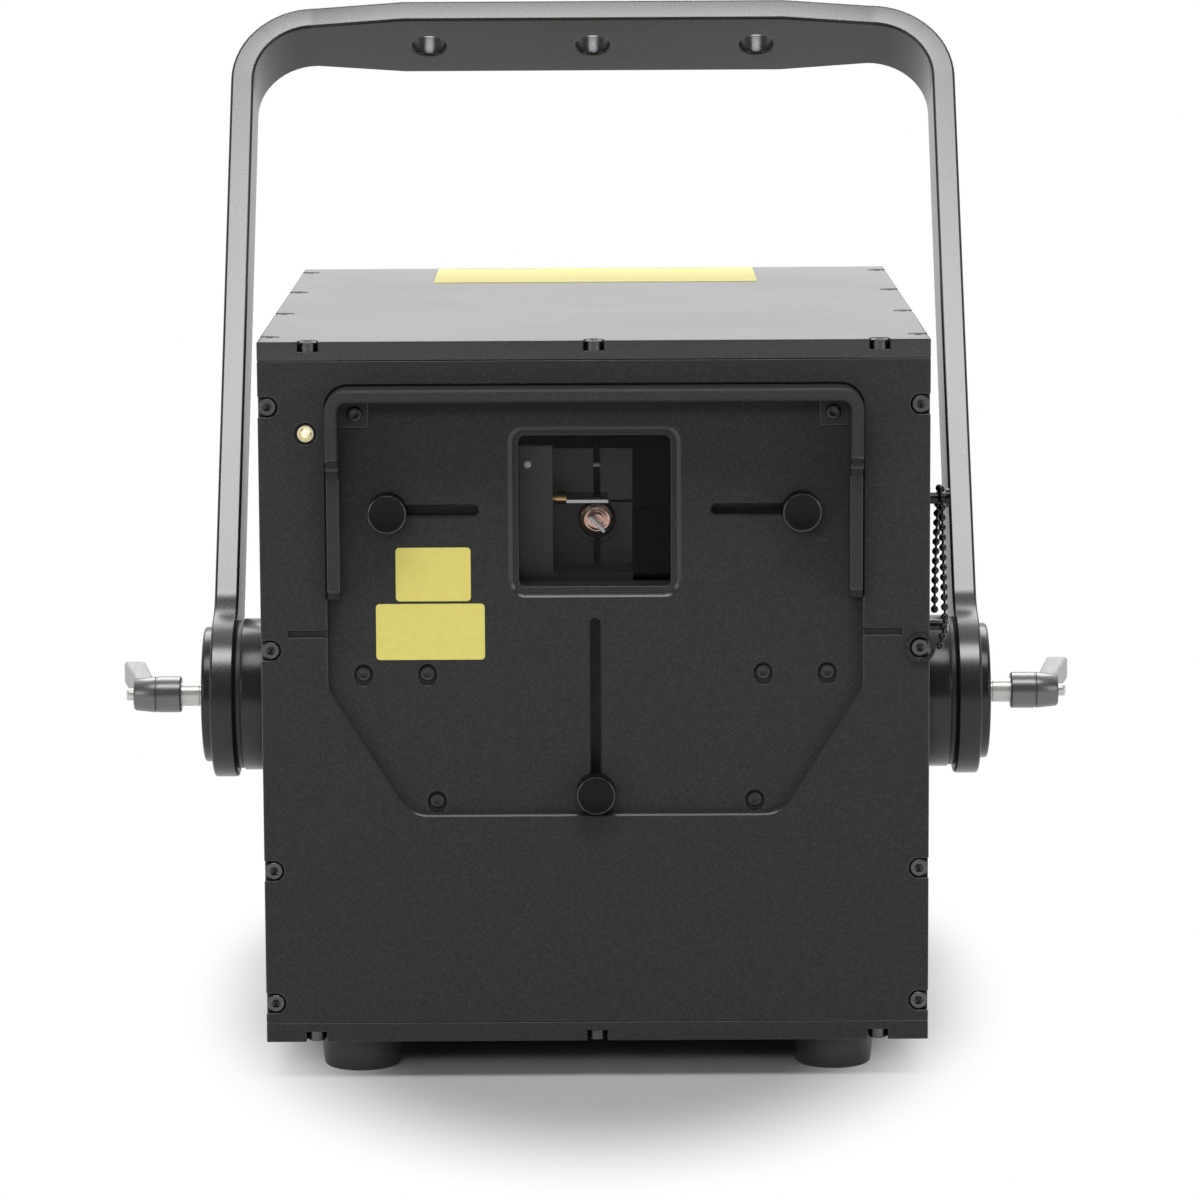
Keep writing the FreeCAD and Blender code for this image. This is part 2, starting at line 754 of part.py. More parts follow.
def make_hood():
    body = new_body("aperture_hood")
    frame = front_sketch(body, "hood_front_y")
    inner = "(hood_half - hood_wall)"
    outer_corners = [("-hood_half", "hood_top"), ("hood_half", "hood_top")]
    inner_corners = [(inner, "hood_top - hood_wall"), ("-" + inner, "hood_top - hood_wall")]
    right_end = [("hood_half", "hood_end"), (inner, "hood_end")]
    left_end = [("-" + inner, "hood_end"), ("-hood_half", "hood_end")]
    outline(frame, outer_corners + right_end + inner_corners + left_end)
    pad(body, frame, "hood_reach + pocket_depth", backwards=True)
    ease(body, "Fillet", "hood_corner_radius", at_corner(outer_corners))
    ease(body, "Fillet", "hood_corner_radius - hood_wall", at_corner(inner_corners))
    rim = number("hood_front_y")
    ease(body, "Fillet", "hood_edge_round", lambda edge: edge.BoundBox.YMax < rim + 1e-4)
    side = sketch_on(body, "YZ_Plane", "half_width")
    step_z = "(top_z - hood_step_drop)"
    half_step = "(hood_reach - hood_low_reach) / 2"
    outline(side, [
        ("hood_front_y - hood_wall", step_z),
        ("hood_front_y", step_z),
        ("hood_front_y + " + half_step, step_z + " - hood_step_height * 0.4"),
        ("hood_front_y + " + half_step, step_z + " - hood_step_height * 0.55"),
        ("housing_front - hood_low_reach", step_z + " - hood_step_height"),
        ("housing_front - hood_low_reach", "hood_end + hood_end_bevel"),
        ("housing_front - hood_low_reach + hood_end_bevel", "hood_end"),
        ("housing_front - hood_low_reach + hood_end_bevel", "hood_end - hood_wall"),
        ("hood_front_y - hood_wall", "hood_end - hood_wall")])
    pocket(body, side)
    tabs = front_sketch(body, "floor_y")
    for _, sign in SIDES:
        outer, root = sign + inner, sign + "(hood_half - hood_wall - hood_tab)"
        left, right = (outer, root) if sign else (root, outer)
        rectangle(tabs, left, right, "hood_top - hood_wall - hood_tab", "hood_top - hood_wall")
    pad(body, tabs, "hood_tab_thickness")
    holes = front_sketch(body, "floor_y")
    for _, sign in SIDES:
        circle(holes, sign + "hood_screw_x", "hood_screw_z", "screw_hole")
    pocket(body, holes, "hood_tab_thickness", backwards=True)
    sub_part(body, "aperture_hood")


def make_lids():
    """Top and bottom plates, with their screw notches facing outwards."""
    for label, low, face_z, from_below in (("top_plate", "inner_high", "top_z", False),
                                           ("bottom_plate", "foot_height", "foot_height", True)):
        body = new_body(label)
        plate = sketch_on(body, "XY_Plane", low)
        rectangle(plate, "-half_width", "half_width", "housing_front", "back_y")
        pad(body, plate, "plate_thickness")
        cut_screw_notches(body, lambda: sketch_on(body, "XY_Plane", face_z), lid_screw_spots(), from_below)
        if from_below:
            vents = sketch_on(body, "XY_Plane", face_z)
            for count in range(6):
                back = "housing_front + inlet_slot_depth + %d * inlet_slot_pitch" % count
                slot(vents, ("inlet_slot_x - inlet_slot_length / 2", back),
                     ("inlet_slot_x + inlet_slot_length / 2", back), "inlet_slot_width")
            pocket(body, vents, None, backwards=True)
            holes = sketch_on(body, "XY_Plane", face_z)
            for across, back in foot_spots():
                circle(holes, across, back, "(foot_screw_diameter + screw_clearance)")
            pocket(body, holes, None, backwards=True)
        sub_part(body, label)


def make_side_panels():
    for side, sign in SIDES:
        body = new_body(side + "_side_panel")
        panel = sketch_on(body, "YZ_Plane", "-half_width" if sign else "side_inner")
        rectangle(panel, "panel_back_y", "rear_inner_y", "inner_low", "inner_high")
        pad(body, panel, "side_thickness")
        sub_part(body, side + "_side_panel")


def make_rear_panel():
    body = new_body("rear_panel")

    def face():
        return front_sketch(body, "back_y")

    plate = face()
    rectangle(plate, "-half_width", "half_width", "inner_low", "inner_high")
    pad(body, plate, "rear_thickness")
    spots = [((across, up), (mouth, up)) for across, up, mouth in face_screw_spots()]
    cut_screw_notches(body, face, spots, backwards=True)
    vents = face()
    for count in range(-4, 5):
        across = "(fan_x + %d * vent_pitch)" % count
        reach = "sqrt((fan_bore / 2 - vent_slot / 2)^2 - (%d * vent_pitch)^2)" % count
        slot(vents, (across, "fan_height - %s" % reach), (across, "fan_height + %s" % reach), "vent_slot")
    pocket(body, vents, None, backwards=True)
    cuts = face()
    centred(cuts, "inlet_x", "inlet_height", "(inlet_width + fitting_clearance)",
            "(inlet_tall + fitting_clearance)")
    for count in range(2):
        centred(cuts, "socket_x", "(socket_low_height + %d * socket_pitch)" % count,
                "(socket_width + fitting_clearance)", "(socket_tall + fitting_clearance)")
    circle(cuts, "interlock_x", "interlock_height", "(interlock_diameter + fitting_clearance)")
    circle(cuts, "key_x", "key_z", "(key_barrel + fitting_clearance)")
    pocket(body, cuts, None, backwards=True)
    sub_part(body, "rear_panel")


def make_case_screws():
    """Socket-head screws of one kind: turned head and shank with a hex socket."""
    grip = "(plate_thickness - notch_depth)"
    master = turned_body("case_screw", [("0", "-" + grip), ("screw_diameter / 2", "-" + grip),
                                        ("screw_diameter / 2", "0"), ("screw_head / 2", "0"),
                                        ("screw_head / 2", "screw_head_height"), ("0", "screw_head_height")])
    inset = "notch_depth"
    shapes = []
    spots = [vector(spot[0], spot[1], "top_z - " + inset) for spot, _ in lid_screw_spots()]
    shapes += copies(master, spots)
    spots = [vector(spot[0], spot[1], "foot_height + " + inset) for spot, _ in lid_screw_spots()]
    shapes += copies(master, spots, (1, 0, 0), 180)
    spots = [vector(across, "housing_front + " + inset, up) for across, up, _ in face_screw_spots()]
    shapes += copies(master, spots, (1, 0, 0), 90)
    spots = [vector(across, "back_y - " + inset, up) for across, up, _ in face_screw_spots()]
    shapes += copies(master, spots, (1, 0, 0), -90)
    group("case_screws", shapes)


def make_flat_screws():
    """Flat-head screws on the pocket's floor and in the hood's corner tabs."""
    reach = "(cover_back_y - floor_y - floor_recess_depth)"
    long_screw = turned_body("keeper_screw", [("0", "-" + reach), ("screw_diameter / 2", "-" + reach),
                                              ("screw_diameter / 2", "0"), ("flat_screw_head / 2", "0"),
                                              ("flat_screw_head / 2", "flat_screw_head_height"),
                                              ("0", "flat_screw_head_height")])
    spots = [vector(across, "floor_y + floor_recess_depth", "top_z - " + drop)
             for across, drop in floor_screw_spots()]
    shapes = copies(long_screw, spots, (1, 0, 0), 90)
    grip = "(panel_back_y - floor_y + hood_tab_thickness)"
    short_screw = turned_body("hood_screw", [("0", "-" + grip), ("screw_diameter / 2", "-" + grip),
                                             ("screw_diameter / 2", "0"), ("flat_screw_head / 2", "0"),
                                             ("flat_screw_head / 2", "flat_screw_head_height"),
                                             ("0", "flat_screw_head_height")])
    spots = [vector(sign + "hood_screw_x", "floor_y - hood_tab_thickness", "hood_screw_z")
             for _, sign in SIDES]
    shapes += copies(short_screw, spots, (1, 0, 0), 90)
    group("flat_screws", shapes)


def make_mask_cover():
    """Keeper plate behind the blades, with spacers, and the pane glued to its back."""
    body = new_body("mask_cover")
    plate = front_sketch(body, "cover_y")
    cover_top = "(top_z - cover_drop)"
    rectangle(plate, "-cover_half", "cover_half", cover_top + " - cover_height", cover_top)
    pad(body, plate, "cover_thickness", backwards=True)
    spacers = front_sketch(body, "cover_y")
    for across, drop in floor_screw_spots():
        circle(spacers, across, "top_z - " + drop, "spacer_diameter")
    pad(body, spacers, "cover_y - panel_back_y")
    opening = front_sketch(body, "cover_y")
    centred(opening, "0", "window_z", "window_size", "window_size")
    pocket(body, opening)
    relief = "(nut_diameter + cover_relief)"
    slots = front_sketch(body, "cover_y")
    for _, sign in SIDES:
        slot(slots, (sign + "side_knob_x", "side_knob_z"),
             (sign + "(side_knob_x - side_travel)", "side_knob_z"), relief)
    slot(slots, ("0", "bottom_knob_z"), ("0", "bottom_knob_z + bottom_travel"), relief)
    pocket(body, slots)
    holes = front_sketch(body, "panel_back_y")
    for across, drop in floor_screw_spots():
        circle(holes, across, "top_z - " + drop, "screw_hole")
    pocket(body, holes)
    sub_part(body, "mask_cover")
    pane = new_body("aperture_glass")
    sheet_of_glass = front_sketch(pane, "cover_back_y")
    centred(sheet_of_glass, "0", "window_z", "(window_size + 2 * glass_lap)", "(window_size + 2 * glass_lap)")
    pad(pane, sheet_of_glass, "glass_thickness", backwards=True)
    sub_part(pane, "aperture_glass")


def make_blade(label, layer, left, right, low, high, across, up):
    """Mask blade with a pressed nut on its back for the thumb screw."""
    body = new_body(label)
    front = "(panel_back_y + blade_gap + %d * blade_pitch)" % layer
    plate = front_sketch(body, front)
    rectangle(plate, left, right, low, high)
    pad(body, plate, "blade_thickness", backwards=True)
    nut = front_sketch(body, front + " + blade_thickness")
    circle(nut, across, up, "nut_diameter")
    pad(body, nut, "nut_height", backwards=True)
    hole = front_sketch(body, front)
    circle(hole, across, up, "(knob_shank + shank_fit)")
    pocket(body, hole)
    sub_part(body, label)


def make_knob(label, layer, across, up):
    """Thumb screw: flat head with an eased rim, collar and shank down to the blade's nut."""
    nut_y = "panel_back_y + blade_gap + %d * blade_pitch + blade_thickness" % layer
    length = "(%s + nut_height - floor_y + knob_gap)" % nut_y
    body = turned_body(label, [("0", "-" + length), ("knob_shank / 2", "-" + length), ("knob_shank / 2", "0"),
                               ("knob_diameter / 2", "0"), ("knob_diameter / 2", "knob_height - knob_edge"),
                               ("knob_diameter / 2 - knob_edge", "knob_height"), ("0", "knob_height")])
    place(body, across, "floor_y - knob_gap", up, (1, 0, 0), "90")
    sub_part(body, label)


def make_masks():
    edge = "(window_size / 2 + blade_margin)"
    tail = "(side_knob_x + blade_tail)"
    low, high = "side_knob_z - blade_height / 2", "side_knob_z + blade_height / 2"
    make_blade("left_mask_blade", 0, "-" + tail, "-" + edge, low, high, "-side_knob_x", "side_knob_z")
    make_blade("right_mask_blade", 1, edge, tail, low, high, "side_knob_x", "side_knob_z")
    make_blade("bottom_mask_blade", 2, "-bottom_blade_half", "bottom_blade_half",
               "bottom_knob_z - blade_tail", "window_z - " + edge, "0", "bottom_knob_z")
    make_knob("left_knob", 0, "-side_knob_x", "side_knob_z")
    make_knob("right_knob", 1, "side_knob_x", "side_knob_z")
    make_knob("bottom_knob", 2, "0", "bottom_knob_z")


def make_lamp():
    outer = "(lamp_bezel / 2)"
    sleeve = "((lamp_bezel - lamp_bezel_wall) / 2)"
    bore = "(lamp_bezel / 2 - lamp_bezel_wall)"
    back = "-(front_thickness - lamp_recess_depth)"
    bezel = turned_body("lamp_bezel", [(bore, back), (sleeve, back), (sleeve, "0"), (outer, "0"),
                                       (outer, "lamp_recess_depth"), (bore, "lamp_recess_depth")])
    lens_radius = "(%s - lamp_fit / 2)" % bore
    lens = turned_body("lamp_lens", [("0", back), (lens_radius, back), (lens_radius, "lamp_recess_depth"),
                                     (lens_radius + " * 0.7", "lamp_recess_depth + lamp_dome * 0.7"),
                                     ("0", "lamp_recess_depth + lamp_dome")])
    for body, label in ((bezel, "lamp_bezel"), (lens, "lamp_lens")):
        place(body, "-lamp_x", "housing_front + lamp_recess_depth", "top_z - lamp_drop", (1, 0, 0), "90")
        sub_part(body, label)


def foot_spots():
    return [(sign + "(half_width - foot_side_inset)", back) for _, sign in SIDES
            for back in ("housing_front + foot_end_inset", "back_y - foot_end_inset")]


def make_feet():
    hole = "((foot_screw_diameter + screw_clearance) / 2)"
    foot = turned_body("foot", [(hole, "foot_recess_depth"),
                                ("foot_recess_diameter / 2", "foot_recess_depth"),
                                ("foot_recess_diameter / 2", "0"), ("foot_tip_diameter / 2", "0"),
                                ("foot_diameter / 2", "foot_height"), (hole, "foot_height")])
    spots = [vector(across, back, "0") for across, back in foot_spots()]
    group("feet", copies(foot, spots))
    shank = "(foot_screw_diameter / 2)"
    top = "foot_height + foot_screw_grip"
    low = "foot_recess_depth - foot_screw_head_height"
    screw = turned_body("foot_screw", [("0", low), ("foot_screw_head / 2", low),
                                       ("foot_screw_head / 2", "foot_recess_depth"),
                                       (shank, "foot_recess_depth"), (shank, top), ("0", top)])
    group("foot_screws", copies(screw, spots))


def mirrored_pair(label, master):
    """A turned piece on each side of the case, its axis along the pivots."""
    spot = vector("0", "pivot_y", "pivot_z")
    shapes = copies(master, [spot], (0, 1, 0), -90) + copies(master, [spot], (0, 1, 0), 90)
    group(label, shapes)


def make_pivots():
    bore = "((stud_diameter + stud_fit) / 2)"
    rim = "(flange_diameter / 2)"
    flange = turned_body("pivot_flange", [(bore, "half_width"), (rim, "half_width"),
                                          (rim, "disc_x"), (bore, "disc_x")])
    mirrored_pair("pivot_flanges", flange)
    loose = "((stud_diameter + stud_clearance) / 2)"
    disc_end = "(disc_x + disc_thickness)"
    disc = turned_body("friction_disc", [(loose, "disc_x"), (rim, "disc_x"),
                                         (rim, disc_end), (loose, disc_end)])
    mirrored_pair("friction_discs", disc)
    washer_end = "(washer_x + washer_thickness)"
    washer_rim = "(washer_diameter / 2)"
    washer = turned_body("outer_washer", [(loose, "washer_x"), (washer_rim, "washer_x"),
                                          (washer_rim, washer_end), (loose, washer_end)])
    mirrored_pair("outer_washers", washer)


def make_yoke():
    """Flat bar bent to a U, with round pivot ends and a broad middle for the three holes."""
    body = new_body("yoke")
    bend_z = "(yoke_height - yoke_bend)"
    bend_x = "(yoke_inner - yoke_bend)"
    for _, sign in SIDES:
        face = "-yoke_outer" if sign else "yoke_inner"
        ends = sketch_on(body, "YZ_Plane", face)
        circle(ends, "0", "0", "yoke_end_diameter")
        pad(body, ends, "yoke_thickness")
        leg = sketch_on(body, "YZ_Plane", face)
        outline(leg, [("-yoke_leg_width / 2", "0"), ("yoke_leg_width / 2", "0"),
                      ("yoke_neck_width / 2", bend_z), ("-yoke_neck_width / 2", bend_z)])
        pad(body, leg, "yoke_thickness")
        corner = sketch_on(body, "XZ_Plane", "-yoke_neck_width / 2")
        bent_corner(corner, sign, bend_x, bend_z)
        pad(body, corner, "yoke_neck_width")
    bar = sketch_on(body, "XY_Plane", "yoke_height")
    neck, broad, flat_half = "yoke_neck_width / 2", "yoke_bar_width / 2", "yoke_bar_flat / 2"
    outline(bar, [("-" + bend_x, "-" + neck), ("-" + flat_half, "-" + broad), (flat_half, "-" + broad),
                  (bend_x, "-" + neck), (bend_x, neck), (flat_half, broad), ("-" + flat_half, broad),
                  ("-" + bend_x, neck)])
    pad(body, bar, "yoke_thickness")
    bores = sketch_on(body, "YZ_Plane", "yoke_outer")
    circle(bores, "0", "0", "(stud_diameter + stud_fit)")
    pocket(body, bores)
    radius = number("yoke_end_diameter") / 2
    half_leg = number("yoke_leg_width") / 2

    def at_root(edge):
        middle = edge.CenterOfMass
        near = abs(math.hypot(middle.y, middle.z) - radius) < 1e-3
        return straight_along(edge, (1, 0, 0)) and near and half_leg * 0.8 < abs(middle.y) < half_leg * 1.1

    ease(body, "Fillet", "yoke_blend", at_root)
    holes = sketch_on(body, "XY_Plane", "yoke_height + yoke_thickness")
    for across in ("-yoke_hole_pitch", "0", "yoke_hole_pitch"):
        circle(holes, across, "0", "yoke_hole")
    pocket(body, holes, "yoke_thickness")
    place(body, "0", "pivot_y", "pivot_z", (1, 0, 0), "-yoke_tilt")
    sub_part(body, "yoke")


def bent_corner(sketch, sign, bend_x, bend_z):
    """Quarter ring between a leg and the bar."""
    middle = flat(sign + bend_x, bend_z)
    start, end = (math.pi / 2, math.pi) if sign else (0, math.pi / 2)
    inner_radius = number("yoke_bend")
    outer_radius = number("yoke_bend + yoke_thickness")
    inner = sketch.addGeometry(arc(middle, inner_radius, start, end), False)
    outer = sketch.addGeometry(arc(middle, outer_radius, start, end), False)
    spokes = []
    for angle, point in ((start, 1), (end, 2)):
        way = FreeCAD.Vector(math.cos(angle), math.sin(angle), 0)
        line = Part.LineSegment(middle + way * inner_radius, middle + way * outer_radius)
        spoke = sketch.addGeometry(line, False)
        sketch.addConstraint(Sketcher.Constraint("Coincident", spoke, 1, inner, point))
        sketch.addConstraint(Sketcher.Constraint("Coincident", spoke, 2, outer, point))
        spokes.append(spoke)
    level, upright = (spokes[1], spokes[0]) if sign else (spokes[0], spokes[1])
    sketch.addConstraint(Sketcher.Constraint("Horizontal", level))
    sketch.addConstraint(Sketcher.Constraint("Vertical", upright))
    sketch.addConstraint(Sketcher.Constraint("Coincident", inner, 3, outer, 3))
    pin_point(sketch, inner, 3, sign + bend_x, bend_z)
    tie(sketch, "Radius", "yoke_bend", inner)
    tie(sketch, "Radius", "yoke_bend + yoke_thickness", outer)


def make_levers():
    """Clamping levers: stud, two-part hub with a cap screw, and an arm that leans out."""
    for side, sign in SIDES:
        turn = "-90" if sign else "90"
        stud_start = "(half_width + stud_end_gap)"
        radius = "(stud_diameter / 2)"
        stud = turned_body(side + "_stud", [("0", stud_start), (radius, stud_start),
                                            (radius, "hub_x"), ("0", "hub_x")])
        seam = "(hub_x + hub_parallel)"
        hub_end = "(hub_x + hub_length)"
        rim = "(hub_diameter / 2)"
        cap = "(hub_cap_diameter / 2)"
        hub = turned_body(side + "_lever_hub", [
            ("0", "hub_x"), (rim, "hub_x"), (rim, seam), (rim + " - hub_seam", seam + " + hub_seam"),
            (rim, seam + " + 2 * hub_seam"), ("hub_tip_diameter / 2", hub_end), (cap, hub_end),
            (cap, hub_end + " + hub_cap_length"), ("0", hub_end + " + hub_cap_length")])
        for body, label in ((stud, side + "_stud"), (hub, side + "_lever_hub")):
            place(body, "0", "pivot_y", "pivot_z", (0, 1, 0), turn)
            sub_part(body, label)
        arm = new_body(side + "_arm_blank")
        root_x = sign + "(hub_x + hub_length - arm_root_width / 2 - hub_seam)"
        tip_x = root_x + (" - " if sign else " + ") + "arm_rise"
        plan = sketch_on(arm, "XY_Plane", "-arm_thickness / 2")
        outline(plan, [(root_x + " - arm_root_width / 2", "hub_diameter / 4"),
                       (root_x + " + arm_root_width / 2", "hub_diameter / 4"),
                       (tip_x + " + arm_tip_width / 2", "arm_length"),
                       (tip_x + " - arm_tip_width / 2", "arm_length")])
        pad(arm, plan, "arm_thickness")
        root_y = number("hub_diameter / 4")
        ease(arm, "Fillet", "arm_root_width / 5", lambda edge: edge.BoundBox.YMax > root_y + 1e-3)
        place(arm, "0", "pivot_y", "pivot_z")
        fitted = doc.addObject("Part::Cut", side + "_lever_arm")
        fitted.Base = arm
        fitted.Tool = hub
        sub_part(fitted, side + "_lever_arm")


def chain_route():
    """Points of the bead chain: from the ring, up to the hook, over it and down to the eye."""
    steps = ((3.2, -0.4, 94.4), (4.9, 2.2, 89), (4.7, 5.2, 78), (4.4, 8, 65), (4.1, 10.1, 47.1),
             (3.6, 16.8, 47.4), (3.2, 19.4, 62), (2.9, 20.8, 76), (2.8, 21, 86.4))
    return [vector("half_width + %s" % out, "housing_front + %s" % depth, "top_z - %s" % drop)
            for out, depth, drop in steps]


def round_path(points):
    """Straight runs joined by tangent arcs, each as large as its two runs allow."""
    edges = []
    start = points[0]
    radii = []
    for before, corner, after in zip(points, points[1:], points[2:]):
        inward, outward = (before - corner), (after - corner)
        cut = 0.45 * min(inward.Length, outward.Length)
        inward.normalize()
        outward.normalize()
        half_turn = (math.pi - inward.getAngle(outward)) / 2
        radii.append(cut / math.tan(half_turn))
        first, last = corner + inward * cut, corner + outward * cut
        toward = (inward + outward).normalize()
        middle = corner + toward * (radii[-1] / math.cos(half_turn) - radii[-1])
        edges.append(Part.LineSegment(start, first).toShape())
        edges.append(Part.Arc(first, middle, last).toShape())
        start = last
    edges.append(Part.LineSegment(start, points[-1]).toShape())
    return Part.Wire(edges), radii


def make_chain():
    """Bead chain as a plain tube along its route, with its ring, hook and eye."""
    wire, radii = round_path(chain_route())
    thickness = number("chain_diameter")
    way = wire.Edges[0].tangentAt(wire.Edges[0].FirstParameter)
    ring = Part.Wire(Part.makeCircle(thickness / 2, wire.Edges[0].Vertexes[0].Point, way))
    tube = wire.makePipeShell([ring], True, False)
    expected = math.pi * thickness ** 2 / 4 * wire.Length
    part_of = tube.Volume / expected
    print("chain length %.1f mm, tube volume %.4f of section times length" % (wire.Length, part_of))
    print("chain bend radii", [round(radius, 1) for radius in radii])
    feature = doc.addObject("Part::Feature", "bead_chain")
    feature.Shape = tube
    sub_part(feature, "bead_chain")
    hole = "(notch_width / 2 + screw_clearance)"
    band = turned_body("chain_ring", [(hole, "0"), ("chain_ring_diameter / 2", "0"),
                                      ("chain_ring_diameter / 2", "chain_ring_thickness"),
                                      (hole, "chain_ring_thickness")])
    place(band, "screw_x", "housing_front", "top_z - second_screw_drop", (1, 0, 0), "90")
    sub_part(band, "chain_ring")
    peg = turned_body("chain_peg", [("0", "0"), ("peg_diameter / 2", "0"),
                                    ("peg_diameter / 2", "peg_length - peg_head_thickness"),
                                    ("peg_head / 2", "peg_length - peg_head_thickness"),
                                    ("peg_head / 2", "peg_length"), ("0", "peg_length")])
    spots = [vector("half_width", "housing_front + hook_depth", "top_z - hook_drop"),
             vector("half_width", "housing_front + eye_depth", "top_z - eye_drop")]
    group("chain_pegs", copies(peg, spots, (0, 1, 0), 90))


def make_bench():
    body = new_body("optical_bench")
    plate = sketch_on(body, "XY_Plane", "bench_z")
    rectangle(plate, "-bench_half", "bench_half", "bench_front_y", "bench_back_y")
    pad(body, plate, "bench_thickness")
    sub_part(body, "optical_bench")
    post = turned_body("bench_post", [("0", "inner_low"), ("post_diameter / 2", "inner_low"),
                                      ("post_diameter / 2", "bench_z"), ("0", "bench_z")])
    spots = [vector(sign + "(bench_half - post_inset)", depth, "0") for _, sign in SIDES
             for depth in ("bench_front_y + post_inset", "bench_back_y - post_inset")]
    group("bench_posts", copies(post, spots))


def make_scanner():
    """Clamp block with a cheek for one galvanometer and a wall for the other, and both motors."""
    body = new_body("scanner_block")
    front, back = "housing_front + scanner_front_depth", "housing_front + scanner_back_depth"
    base = sketch_on(body, "XY_Plane", "bench_top")
    rectangle(base, "-scanner_left", "scanner_right", front, back)
    pad(body, base, "scanner_base")
    walls = sketch_on(body, "XY_Plane", "scanner_floor")
    outline(walls, [("-scanner_left", front), ("-scanner_cheek", front), ("-scanner_cheek", "wall_y"),
                    ("scanner_right", "wall_y"), ("scanner_right", back), ("-scanner_left", back)])
    pad(body, walls, "scanner_height - scanner_base")
    step = sketch_on(body, "XY_Plane", "scanner_top")
    rectangle(step, "-scanner_cheek", "scanner_right", "wall_y", back)
    pocket(body, step, "scanner_wall_step")
    bore = "(galvo_diameter + galvo_fit)"
    wall_bore = front_sketch(body, "wall_y")
    circle(wall_bore, "x_axis_offset", "x_axis_z", bore)
    pocket(body, wall_bore)
    slits = front_sketch(body, "wall_y")
    rectangle(slits, "x_axis_offset - clamp_slit / 2", "x_axis_offset + clamp_slit / 2",
              "x_axis_z", "scanner_top")
    pocket(body, slits)
    low_slit = front_sketch(body, "wall_y")
    rectangle(low_slit, "x_axis_offset - clamp_slit / 2", "x_axis_offset + clamp_slit / 2",
              "scanner_floor", "x_axis_z")
    pocket(body, low_slit)
    recess = front_sketch(body, "wall_y")
    circle(recess, "x_axis_offset", "x_axis_z", "(galvo_diameter + 2 * galvo_recess_margin)")
    pocket(body, recess, "galvo_recess_depth")
    side_slit = front_sketch(body, "wall_y")
    slit_z = "(x_axis_z + side_slit_rise)"
    rectangle(side_slit, "x_axis_offset", "scanner_right + side_slit", slit_z + " - side_slit / 2",
              slit_z + " + side_slit / 2")
    pocket(body, side_slit, "side_slit_depth")
    cheek_bore = sketch_on(body, "YZ_Plane", "-scanner_cheek")
    circle(cheek_bore, "y_axis_y", "y_axis_z", bore)
    pocket(body, cheek_bore)
    sub_part(body, "scanner_block")
    make_galvo("x_galvo", "x_axis_offset", "wall_y", "x_axis_z", (1, 0, 0), "-90")
    make_galvo("y_galvo", "-scanner_cheek", "y_axis_y", "y_axis_z", (0, 1, 0), "-90")
    make_mirrors()


def make_galvo(label, across, back, up, axis, turn):
    """Galvanometer motor: a round can with a bored nose, pointing back from its mirror."""
    can = "(galvo_diameter / 2)"
    bore = "((shaft_diameter + shaft_fit) / 2)"
    tail = "(galvo_diameter / 3)"
    body = turned_body(label, [("0", "galvo_nose * 3"), (bore, "galvo_nose * 3"), (bore, "0"), (can, "0"),
                               (can, "galvo_length"), (tail, "galvo_length"),
                               (tail, "galvo_length + galvo_nose"), ("0", "galvo_length + galvo_nose")])
    place(body, across, back, up, axis, turn)
    sub_part(body, label)


def make_mirror(label, plate_width, plate_length, across, back, up, axis, turn):
    """Scan mirror: shaft into the motor, holder, and a plate set across the axis."""
    body = turned_body(label, [("0", "shaft_bite"), ("shaft_diameter / 2", "shaft_bite"),
                               ("shaft_diameter / 2", "-galvo_nose / 3"),
                               ("holder_diameter / 2", "-galvo_nose / 3"),
                               ("holder_diameter / 2", "-holder_length"), ("0", "-holder_length")])
    plate = sketch_on(body, "XY_Plane", "-holder_length")
    centred(plate, "0", "0", plate_width, "mirror_thickness")
    pad(body, plate, plate_length, backwards=True)
    place(body, across, back, up, axis, turn)
    return sub_part(body, label)


def make_mirrors():
    """Both mirrors, each turned on its shaft to its resting angle."""
    x_mirror = make_mirror("x_mirror", "x_mirror_width", "x_mirror_length",
                           "x_axis_offset", "wall_y", "x_axis_z", (1, 0, 0), "-90")
    y_mirror = make_mirror("y_mirror", "y_mirror_width", "y_mirror_length",
                           "-scanner_cheek", "y_axis_y", "y_axis_z", (0, 1, 0), "-90")
    for mirror, rest in ((x_mirror, "x_mirror_rest"), (y_mirror, "y_mirror_rest")):
        turned = FreeCAD.Rotation(FreeCAD.Vector(0, 0, 1), number(rest))
        mirror.Placement.Rotation = mirror.Placement.Rotation * turned
        mirror.setExpression("Placement.Rotation.Angle", None)


def make_lasers():
    """Three laser modules in a row, each firing across the bench at its own mirror."""
    for count, label in enumerate(("red_laser", "green_laser", "blue_laser")):
        depth = "(laser_first_y + %d * laser_pitch)" % count
        body = new_body(label)
        block = sketch_on(body, "XY_Plane", "bench_top")
        rectangle(block, "laser_x", "laser_x + laser_length", depth + " - laser_width / 2",
                  depth + " + laser_width / 2")
        pad(body, block, "laser_height")
        nose = sketch_on(body, "YZ_Plane", "laser_x + laser_length")
        circle(nose, depth, "x_axis_z", "laser_nose_diameter")
        pad(body, nose, "laser_nose_length")
        sub_part(body, label)
    body = new_body("beam_mirror")
    base = sketch_on(body, "XY_Plane", "0")
    centred(base, "0", "0", "mirror_base", "mirror_base / 2")
    pad(body, base, "mirror_post_height - mirror_plate")
    plate = sketch_on(body, "XY_Plane", "mirror_post_height - mirror_plate")
    centred(plate, "0", "0", "mirror_plate", "mirror_plate_thickness")
    pad(body, plate, "mirror_plate")
    beam_x = "bench_half - beam_side_inset"
    spots = [vector(beam_x, "laser_first_y + %d * laser_pitch" % count, "bench_top") for count in range(3)]
    spots.append(vector(beam_x, "y_axis_y + galvo_nose", "bench_top"))
    group("beam_mirrors", copies(body, spots, (0, 0, 1), 45))


